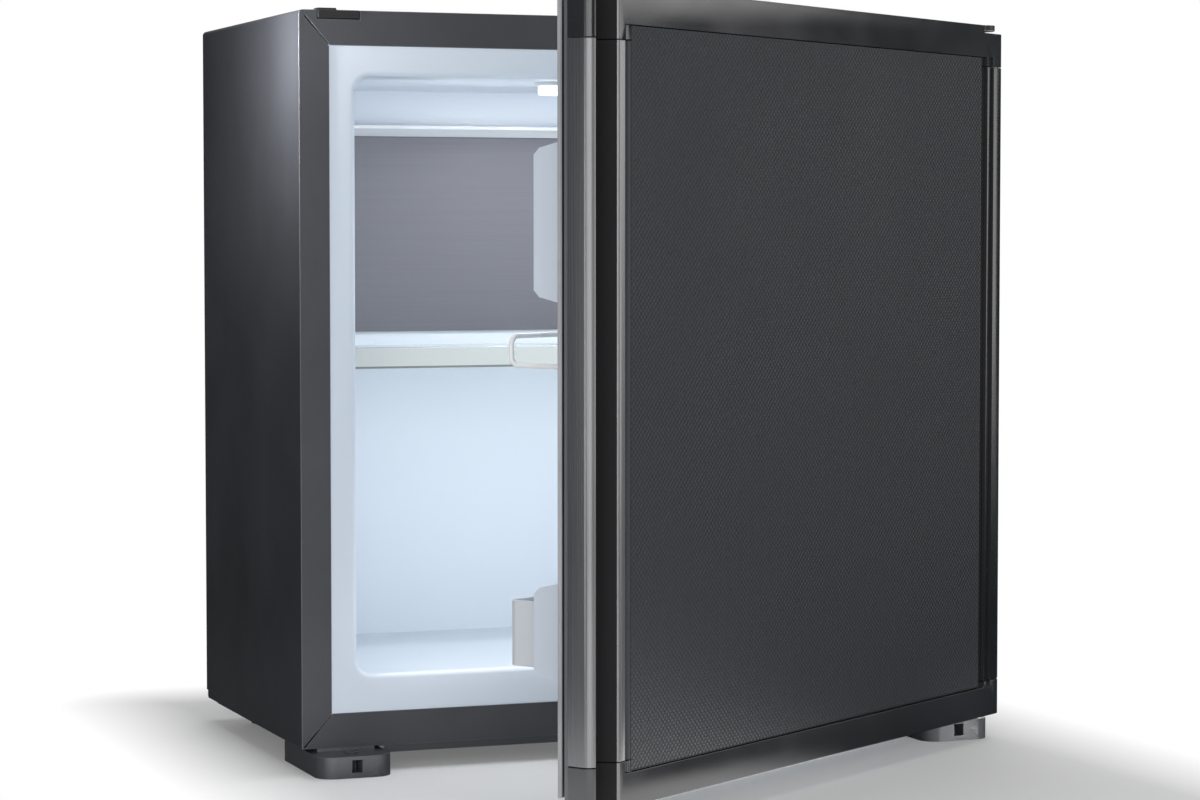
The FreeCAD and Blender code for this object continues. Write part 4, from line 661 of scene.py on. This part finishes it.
# The rib and the ridge are painted pale as highlights.
rib_painted_highlight = extruded_grey("rib_painted_highlight", (0.13, 0.131, 0.136), 0.24, specular=0.9)
step_grey = extruded_grey("step_grey", (0.032, 0.0335, 0.038), 0.5, specular=0.3)
ridge_painted_highlight = extruded_grey("ridge_painted_highlight", (0.15, 0.152, 0.158), 0.3)
GROOVE_FROM, GROOVE_TO = -0.2058, -0.1872
RIB_FROM, RIB_TO, RIB_FOOT = -0.1872, -0.1803, -0.0134
STEP_FROM, STEP_TO = -0.1795, -0.165
RIDGE_FRONT = -0.35
HINGE_FROM, HINGE_TO, HINGE_FACE, HINGE_BACK, LEVEL = 0.1842, 0.2005, -0.0149, 0.0, 0.5


def in_groove(middle, facing):
    """The finger groove, painted matt black as the shade in it."""
    return GROOVE_FROM < middle.x < GROOVE_TO


def on_rib(middle, facing):
    """The narrow rib beside the groove, polished and painted pale as a highlight."""
    return RIB_FROM < middle.x < RIB_TO and middle.y < RIB_FOOT


def on_step(middle, facing):
    """The low step between the rib and the door's skin, which is matt."""
    return STEP_FROM < middle.x < STEP_TO


def on_ridge(middle, facing):
    """The rounded ridge before the groove, painted paler than the flat side as a highlight."""
    return middle.x < GROOVE_FROM and facing.y < RIDGE_FRONT


def in_hinge_grooves(middle, facing):
    """The two narrow grooves at the hinge side, painted as black as the finger groove as shade."""
    within = HINGE_FROM < middle.x < HINGE_TO and HINGE_FACE < middle.y < HINGE_BACK
    return within and abs(facing.z) < LEVEL


def refinish(piece, *changes):
    """Gives other finishes to some faces of a door piece, chosen by place and facing on the shut door."""
    for material, chosen in changes:
        if material.name not in piece.data.materials:
            piece.data.materials.append(material)
        slot = piece.data.materials.find(material.name)
        for face in piece.data.polygons:
            if chosen(shut @ face.center + shut_shift, shut.to_3x3() @ face.normal):
                face.material_index = slot


groove_shade, rib_highlight = (groove_painted_shade, in_groove), (rib_painted_highlight, on_rib)
hinge_groove_shade = (groove_painted_shade, in_hinge_grooves)
handle_profile = dressed("door_handle_profile", profile_grey, edge=0.0003)
refinish(handle_profile, groove_shade, rib_highlight, (step_grey, on_step), (ridge_painted_highlight, on_ridge))
hinge_profile = dressed("door_hinge_profile", cap_grey, edge=0.0003)
refinish(hinge_profile, hinge_groove_shade)
for cap in ("door_top_cap", "door_bottom_cap"):
    refinish(dressed(cap, cap_grey, edge=0.0005), groove_shade, rib_highlight, hinge_groove_shade)

# Door liner and bins
# The inside of the door is drawn from white sheet, with bosses at both sides. Two white bins hang
# on pegs, and a white coated wire guards the lower one. The sheet is dark grey along its left,
# lower and upper borders.


def shut_box(node):
    """The lowest and highest corners of a CAD piece of the door, with the door shut."""
    points = [shut @ v.co + shut_shift for v in frame["nodes"][node].data.vertices]
    return [Vector([limit(p[axis] for p in points) for axis in range(3)]) for limit in (min, max)]


EDGE_SIDE, EDGE_LOW, EDGE_TOP = 0.0022, 0.0032, 0.0013
door_white = drawn_white("door_white", liner_tone)
sheet_low, sheet_high = shut_box("door_liner")
sheet_edge = [
    ("X", "LESS_THAN", sheet_low.x + EDGE_SIDE),
    ("Z", "LESS_THAN", sheet_low.z + EDGE_LOW),
    ("Z", "GREATER_THAN", sheet_high.z - EDGE_TOP),
]
past_border(door_white, door_place(door_white.node_tree), sheet_edge, (0.1, 0.1, 0.105))
dressed("door_liner", door_white, edge=0.0008)
for bin_piece in ("upper_door_bin", "bottle_rack"):
    dressed(bin_piece, moulded_white, edge=0.0006)
wire_white = drawn_white("wire_white", (0.78, 0.79, 0.80), roughness=0.25)
dressed("bottle_rail", wire_white, edge=0.0)

# Gasket
# A grey vinyl head with a magnet strip inside, on a soft neck that folds; the neck is painted near
# black as the shade in its fold. It is welded into a frame at the corners and pushed into the door
# liner. Half its section is drawn and mirrored.
MILLIMETRE = 0.001
SEAL_WIDTH, NECK_END = 9.0, 5.8
HALF_SECTION = [
    (2.0, 0.0), (2.0, 1.2), (1.2, 1.6), (1.0, 2.4), (3.2, 3.2), (3.4, 4.4),
    (3.0, 5.4), (0.6, 5.8), (0.0, 6.4), (0.0, 8.0), (0.5, 8.5),
]
seal_section = HALF_SECTION + [(SEAL_WIDTH - inward, outward) for inward, outward in reversed(HALF_SECTION)]
seal_low, seal_high = shut_box("door_gasket")


def at_door(x, y, z):
    """A point of the shut door, carried to where the open door holds it."""
    return hinge_axis + Matrix.Rotation(door_angle, 4, "Z") @ (Vector((x, y, z)) - hinge_axis)


seal_shell = bmesh.new()
seal_rings = []
for inward, outward in seal_section:
    inset = inward * MILLIMETRE
    depth = seal_low.y + outward * MILLIMETRE
    left, right = seal_low.x + inset, seal_high.x - inset
    low, high = seal_low.z + inset, seal_high.z - inset
    corners = ((left, low), (right, low), (right, high), (left, high))
    seal_rings.append([seal_shell.verts.new(at_door(x, depth, z)) for x, z in corners])
for k, one in enumerate(seal_rings):
    following = (k + 1) % len(seal_rings)
    two = seal_rings[following]
    neck = max(seal_section[k][1], seal_section[following][1]) <= NECK_END
    for i in range(4):
        strip = seal_shell.faces.new((one[i], one[(i + 1) % 4], two[(i + 1) % 4], two[i]))
        strip.material_index = 1 if neck else 0
gasket = made_of(seal_shell, "door_gasket_bellows")
gasket.data.materials.append(sparked("seal_vinyl", (0.39, 0.39, 0.415), 0.55, cells=900, depth=0.0003))
# The neck is painted near black as the shade in its fold.
gasket.data.materials.append(sparked("seal_neck_shade", (0.03, 0.03, 0.032), 0.6, cells=900, depth=0.0003))
scene.collection.objects.link(gasket)
smooth_by_angle(gasket, 60)
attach(gasket, "door")
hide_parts("door_gasket")

# Hinges
# A thick painted steel plate reaches out of the top slot over the door; steel pins turn in pale
# bushes pressed into the caps. The boiler's heater has the same bright steel sheath as the pins.
hinge_paint = powder_coat("hinge_paint", (0.02, 0.02, 0.022), specular=0.4, roughness=0.42)
pin_steel = rolled_aluminium("pin_steel", (0.55, 0.55, 0.56), (500, 500, 40))
dressed("hinge_plate", hinge_paint, edge=0.0005, worn_and_highlit=pin_steel)
for pin in ("hinge_pin_top", "hinge_pin_bottom", "heater_cartridge"):
    dressed(pin, pin_steel, edge=0.0003)
bush_acetal = drawn_white("bush_acetal", (0.72, 0.71, 0.66), roughness=0.4)
for bush in ("hinge_bush_top", "hinge_bush_bottom"):
    dressed(bush, bush_acetal, edge=0.0003)

# Cooling unit
# Welded steel tubes painted satin black, with pale dust lying on what faces up: the boiler tube,
# the condenser, the gas tube, the absorber coil and its drum. Nothing in it moves.
DUST_THINS, DUST_PALE, DUST_DULL = 0.7, 0.045, 0.35


def unit_black(name, tone, roughness):
    """Satin black paint with dust settled on upward faces."""
    material, tree, shader = finish(name, tone, roughness)
    where = place(tree)
    geometry = tree.nodes.new("ShaderNodeNewGeometry")
    upward = axes_of(tree, geometry.outputs["Normal"])["Z"]
    cloud = grain(tree, where, cells=55, detail=4)
    lying = ranged(tree, upward, 0.0, 0.75, 0.35, 1.0)
    settled = worked(tree, "MULTIPLY", lying, ranged(tree, cloud, 0.1, 1.0, 0.35, 0.65))
    dusty = tuple(c * DUST_THINS + DUST_PALE for c in tone)
    tree.links.new(graded(tree, settled, tone, dusty, 0.0, 1.0), shader.inputs["Base Color"])
    gloss = ranged(tree, settled, roughness, roughness + DUST_DULL, 0.0, 1.0)
    tree.links.new(gloss, shader.inputs["Roughness"])
    relief(tree, shader, grain(tree, where, cells=500, detail=3), strength=0.2, depth=0.0004)
    return material


tube_black = unit_black("tube_black", (0.014, 0.014, 0.015), 0.33)
for tube in (
    "boiler_tube",
    "condenser_tube",
    "gas_exchanger_tube",
    "absorber_coil",
    "absorber_vessel",
    "solution_tube",
    "evaporator_tube",
):
    dressed(tube, tube_black, edge=0.0)

# Weld beads
# Every joint between two tubes has a thin bead of weld round it.
# The beads were run before the unit was painted, so the same black covers them.
BEAD_THICK, BEAD_WIDE, BEAD_PROUD = 0.15, 0.2, 0.0003
CONDENSER_RADIUS, SOLUTION_RADIUS, EVAPORATOR_RADIUS = 0.0070, 0.0080, 0.0065
GAS_RADIUS, COIL_RADIUS = 0.0110, 0.0090


def bead_ring():
    """One bead of unit radius round Z, thick enough to show."""
    around, across = 40, 6
    shell = bmesh.new()
    rings = []
    for i in range(around):
        angle = 2 * math.pi * i / around
        spine = Vector((math.cos(angle), math.sin(angle), 0))
        ring = []
        for k in range(across):
            turn = 2 * math.pi * k / across
            lift = Vector((0, 0, BEAD_WIDE * math.sin(turn)))
            ring.append(shell.verts.new(spine * (1.0 + BEAD_THICK * math.cos(turn)) + lift))
        rings.append(ring)
    bridge(shell, rings + rings[:1])
    return made_of(shell, "bead_ring")


bead = bead_ring()
unit_y = middle_of("boiler_tube", Y)
boiler_x = middle_of("boiler_tube", X)
boiler_foot, boiler_head = ends_of("boiler_tube", Z)
gas_x, gas_foot = ends_of("gas_exchanger_tube", X, GAS_RADIUS)[1], ends_of("gas_exchanger_tube", Z)[0]
coil_x, coil_foot = ends_of("absorber_coil", X, COIL_RADIUS)[0], ends_of("absorber_coil", Z)[0]
evaporator_end = ends_of("evaporator_tube", X)[1]
evaporator_lower, evaporator_upper = ends_of("evaporator_tube", Z, EVAPORATOR_RADIUS)
drum_x, drum_z = ends_of("solution_tube", X)[1], ends_of("solution_tube", Z, SOLUTION_RADIUS)[0]
upright_welds = [
    ("boiler_head_weld", (boiler_x, unit_y, boiler_head), CONDENSER_RADIUS),
    ("boiler_foot_weld", (boiler_x, unit_y, boiler_foot), SOLUTION_RADIUS),
    ("gas_tube_weld", (gas_x, unit_y, gas_foot), GAS_RADIUS),
    ("coil_foot_weld", (coil_x, unit_y, coil_foot), COIL_RADIUS),
]
level_welds = [
    ("condenser_weld", (evaporator_end, unit_y, evaporator_upper), CONDENSER_RADIUS),
    ("gas_head_weld", (evaporator_end, unit_y, evaporator_lower), EVAPORATOR_RADIUS),
    ("drum_weld", (drum_x, unit_y, drum_z), SOLUTION_RADIUS),
]
upright_tree = repeat_tree("beads_round_upright_tubes", tube_black, (0, 0, 0), seed=11)
level_tree = repeat_tree("beads_round_level_tubes", tube_black, (0, math.pi / 2, 0), seed=13)
for weld_tree, welds in ((upright_tree, upright_welds), (level_tree, level_welds)):
    for name, seat, radius in welds:
        weld = set_out(name, [seat], bead, weld_tree, "cabinet", Size=radius + BEAD_PROUD, Spin=FULL_TURN)
        weld.data.shade_smooth()

# Boiler casing
# A closed sleeve of the zinc-coated sheet stands round the boiler tube, held by its strap.
# It is packed with mineral wool, which keeps the heat in and shows only where the tubes enter.
dressed("boiler_casing", zinc_sheet, edge=0.0008)
wool_fibre, wool_tree, wool_shader = finish("wool_fibre", (0.55, 0.5, 0.33), 0.95, specular=0.1)
wool_lines = grain(wool_tree, place(wool_tree, (900, 900, 120)), cells=1, detail=4)
wool_tone = graded(wool_tree, wool_lines, (0.42, 0.37, 0.22), (0.68, 0.62, 0.45))
wool_tree.links.new(wool_tone, wool_shader.inputs["Base Color"])
relief(wool_tree, wool_shader, wool_lines, strength=0.8, depth=0.002)
repaint("boiler_wool", wool_fibre)

# Condenser fins
# Thin aluminium plates pressed onto the tube at even spacing, each with a drawn collar round
# the tube and a slightly bent outer edge.
FIN_COUNT, FIN_GAUGE, FIN_INSET, FIN_STEPS = 24, 0.0006, 0.0005, 24
FIN_HOLE, COLLAR_FLARE, COLLAR_FOOT, COLLAR_END = 0.0072, 0.0009, 0.0004, 0.0032
EDGE_BEND, EDGE_SHARE, COLLAR_SHARE = 0.0009, 0.93, 0.42
fin_bright = rolled_aluminium("fin_bright", (0.62, 0.63, 0.65), (40, 400, 60))
fins_low, fins_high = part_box("condenser_fins")
fins_middle = (fins_low + fins_high) / 2
fin_half = (fins_high - fins_low) / 2 - Vector((0, FIN_INSET, FIN_INSET))


def fin_plate():
    """One fin square to X, with its collar, before its thickness."""
    outline = []
    for i in range(FIN_STEPS):
        angle = 2 * math.pi * i / FIN_STEPS
        aside, up = math.cos(angle), math.sin(angle)
        outline.append((aside, up, 1 / max(abs(aside) / fin_half.y, abs(up) / fin_half.z)))
    shell = bmesh.new()
    rings = []
    for share, along in ((1.0, EDGE_BEND), (EDGE_SHARE, 0.0), (COLLAR_SHARE, 0.0)):
        rings.append([shell.verts.new((along, y * r * share, z * r * share)) for y, z, r in outline])
    for radius, along in ((FIN_HOLE + COLLAR_FLARE, COLLAR_FOOT), (FIN_HOLE, COLLAR_END)):
        rings.append([shell.verts.new((along, y * radius, z * radius)) for y, z, r in outline])
    bridge(shell, rings)
    return made_of(shell, "fin_plate")


fin_pitch = (fins_high.x - fins_low.x - FIN_GAUGE) / (FIN_COUNT - 1)
fin_seats = [(fins_low.x + i * fin_pitch, fins_middle.y, fins_middle.z) for i in range(FIN_COUNT)]
fin_tree = repeat_tree("fins_on_the_tube", fin_bright, (0, 0, 0), seed=17)
fins = set_out("condenser_fin_row", fin_seats, fin_plate(), fin_tree, "cabinet", Size=1.0, Spin=0.0)
fin_wall = fins.modifiers.new("fin_gauge", "SOLIDIFY")
fin_wall.thickness = FIN_GAUGE
fin_wall.offset = 0.0
smooth_by_angle(fins, 30)
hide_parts("condenser_fins")

# Control box
# A black moulded box on the back panel holds the thermostat, under a flat lid.
# The mains inlet is snapped into the lid.
box_black = sparked("box_black", (0.018, 0.018, 0.02), 0.55, cells=900, depth=0.0005)
for box_piece in ("control_box", "control_box_lid"):
    dressed(box_piece, box_black, edge=0.0007)
inlet_black = sparked("inlet_black", (0.012, 0.012, 0.013), 0.4, cells=1800, depth=0.0002)
dressed("mains_inlet", inlet_black)

# Floor
# A broad pale sweep that takes the soft shadow under the feet and fades to plain white.
# Glossy faces see it as a bright card at the front, and dark behind that and at the sides.
FLOOR_HALF = 1.6
CARD_MIDDLE, CARD_HALF, CARD_SIDE, CARD_FRONT, CARD_BACK = -0.15, 0.22, 0.3, -0.1, -0.03
CARD_GLOW, DARK_GLOW, ASIDE_SHARE = 2.4, 0.06, 0.03
FOOTPRINT_MIDDLE, FOOTPRINT_HALF = (0.0, 0.03, 0.0), (0.21, 0.27, 0.0)
WHITE_UNDER, WHITE_FROM = 0.15, 0.075
floor_mesh = bpy.data.meshes.new("floor")
floor_corners = [(x * FLOOR_HALF, y * FLOOR_HALF, 0) for x, y in ((-1, -1), (1, -1), (1, 1), (-1, 1))]
floor_mesh.from_pydata(floor_corners, [], [(0, 1, 2, 3)])
floor = bpy.data.objects.new("floor", floor_mesh)
scene.collection.objects.link(floor)
sweep, sweep_tree, sweep_shader = finish("pale_sweep", (0.76, 0.76, 0.76), 0.8, specular=0.1)
white = sweep_tree.nodes.new("ShaderNodeEmission")
card = sweep_tree.nodes.new("ShaderNodeEmission")
for glow in (white, card):
    glow.inputs["Color"].default_value = (1.0, 1.0, 1.0, 1.0)
floor_where = place(sweep_tree)
floor_axes = axes_of(sweep_tree, floor_where)
from_middle = worked(sweep_tree, "SUBTRACT", floor_axes["X"], CARD_MIDDLE)
aside = worked(sweep_tree, "ABSOLUTE", from_middle)
across_card = ranged(sweep_tree, aside, 1.0, ASIDE_SHARE, CARD_HALF, CARD_SIDE)
along_card = ranged(sweep_tree, floor_axes["Y"], CARD_GLOW, DARK_GLOW, CARD_FRONT, CARD_BACK)
sweep_tree.links.new(worked(sweep_tree, "MULTIPLY", along_card, across_card), card.inputs["Strength"])
from_footprint = floor_where
for operation, value in (
    ("SUBTRACT", FOOTPRINT_MIDDLE),
    ("ABSOLUTE", None),
    ("SUBTRACT", FOOTPRINT_HALF),
    ("MAXIMUM", (0, 0, 0)),
):
    step = sweep_tree.nodes.new("ShaderNodeVectorMath")
    step.operation = operation
    sweep_tree.links.new(from_footprint, step.inputs[0])
    if value:
        step.inputs[1].default_value = value
    from_footprint = step.outputs[0]
away = sweep_tree.nodes.new("ShaderNodeVectorMath")
away.operation = "LENGTH"
sweep_tree.links.new(from_footprint, away.inputs[0])
ray = sweep_tree.nodes.new("ShaderNodeLightPath")


def either_shader(factor, first, second):
    """One shader, or another where the factor is one."""
    chosen = sweep_tree.nodes.new("ShaderNodeMixShader")
    sweep_tree.links.new(factor, chosen.inputs["Fac"])
    sweep_tree.links.new(first, chosen.inputs[1])
    sweep_tree.links.new(second, chosen.inputs[2])
    return chosen.outputs[0]


faded = ranged(sweep_tree, away.outputs["Value"], WHITE_UNDER, 1.0, 0.0, WHITE_FROM)
seen = either_shader(faded, sweep_shader.outputs[0], white.outputs[0])
mirrored_floor = either_shader(ray.outputs["Is Glossy Ray"], sweep_shader.outputs[0], card.outputs[0])
sweep_tree.links.new(
    either_shader(ray.outputs["Is Camera Ray"], mirrored_floor, seen),
    sweep_tree.nodes["Material Output"].inputs["Surface"],
)
floor_mesh.materials.append(sweep)

# Light
# A white surround, broad soft lamps at the front, the left, above and behind, a small one at the
# right for the door, a strip behind the hinge, two lamps close to the left side, one low before the
# right foot, and the fridge's own lamp with soft fills.
AMBIENT, MIRRORED_AMBIENT = 0.15, 0.05
OVERHEAD_SHARE, OVERHEAD_FROM, OVERHEAD_TO = 0.7, 0.15, 0.85
world = bpy.data.worlds.new("white_surround")
scene.world = world
world.use_nodes = True
sky = world.node_tree
ambient = sky.nodes["Background"]
ambient.inputs["Color"].default_value = (0.96, 0.98, 1.0, 1.0)
backdrop = sky.nodes.new("ShaderNodeBackground")
backdrop.inputs["Color"].default_value = (1.0, 1.0, 1.0, 1.0)
backdrop.inputs["Strength"].default_value = 1.0
sky_ray = sky.nodes.new("ShaderNodeLightPath").outputs
heading = sky.nodes.new("ShaderNodeTexCoord")
upward = axes_of(sky, heading.outputs["Generated"])["Z"]
dimmed = worked(sky, "MULTIPLY_ADD", sky_ray["Is Glossy Ray"], MIRRORED_AMBIENT - AMBIENT, AMBIENT)
sky.links.new(dimmed, ambient.inputs["Strength"])
overhead = ranged(sky, upward, 0.0, OVERHEAD_SHARE, OVERHEAD_FROM, OVERHEAD_TO)
shown = worked(sky, "MULTIPLY", sky_ray["Is Glossy Ray"], overhead)
for straight in ("Is Camera Ray", "Is Transmission Ray"):
    shown = worked(sky, "MAXIMUM", shown, sky_ray[straight])
sky_mix = sky.nodes.new("ShaderNodeMixShader")
sky.links.new(shown, sky_mix.inputs["Fac"])
sky.links.new(ambient.outputs[0], sky_mix.inputs[1])
sky.links.new(backdrop.outputs[0], sky_mix.inputs[2])
sky.links.new(sky_mix.outputs[0], sky.nodes["World Output"].inputs["Surface"])


def soft_lamp(name, at, towards, size, watts, tone=(1, 1, 1), spread=180):
    """A soft panel of light, aimed at a point, its beam no wider than a spread in degrees."""
    data = bpy.data.lights.new(name, "AREA")
    data.shape = "RECTANGLE"
    data.size, data.size_y = size
    data.energy = watts
    data.color = tone
    data.spread = math.radians(spread)
    lamp = bpy.data.objects.new(name, data)
    scene.collection.objects.link(lamp)
    lamp.location = at
    lamp.rotation_euler = (Vector(towards) - Vector(at)).to_track_quat("-Z", "Y").to_euler()
    lamp.visible_camera = False


soft_lamp("front_lamp", (-0.2, -2.5, 0.6), (-0.1, 0, 0.3), (1.9, 1.3), 30)
soft_lamp("left_lamp", (-1.6, -2.0, 0.6), (-0.1, -0.1, 0.25), (1.1, 1.3), 15)
soft_lamp("right_lamp", (1.4, -0.42, 0.4), (0, -0.2, 0.3), (0.6, 0.8), 4)
soft_lamp("top_lamp", (0.2, 0.45, 2.1), (0, 0, 0), (1.6, 1.6), 20)
soft_lamp("rim_lamp", (1.5, 1.35, 0.45), (0.2, 0, 0.25), (0.4, 0.9), 0.8)
soft_lamp("back_lamp", (0.9, 2.2, 0.9), (0, 0.2, 0.2), (1.4, 1.2), 11)
soft_lamp("side_kicker", (-0.315, 0.006, 0.412), (-0.21, 0.03, 0.4), (0.04, 0.04), 0.43, spread=130)
soft_lamp("edge_lamp", (-0.7, -0.42, 0.22), (-0.1, -0.17, 0.22), (0.15, 0.4), 0.06, spread=40)
soft_lamp("foot_lamp", (0.38, -0.40, 0.03), (0.185, 0.0, 0.008), (0.1, 0.02), 0.008, spread=14)
soft_lamp("cavity_lamp", (0, 0.044, 0.3765), (0, 0.06, 0.1), (0.10, 0.018), 0.3, tone=(1.0, 0.98, 0.94))
soft_lamp("cavity_fill", (0, 0.013, 0.22), (0, 0.2, 0.2), (0.33, 0.32), 0.36, tone=(1.0, 0.98, 0.95))
soft_lamp("door_fill", (0, 0.09, 0.3), (-0.1, -0.2, 0.28), (0.2, 0.12), 0.1, tone=(0.95, 0.98, 1.0))
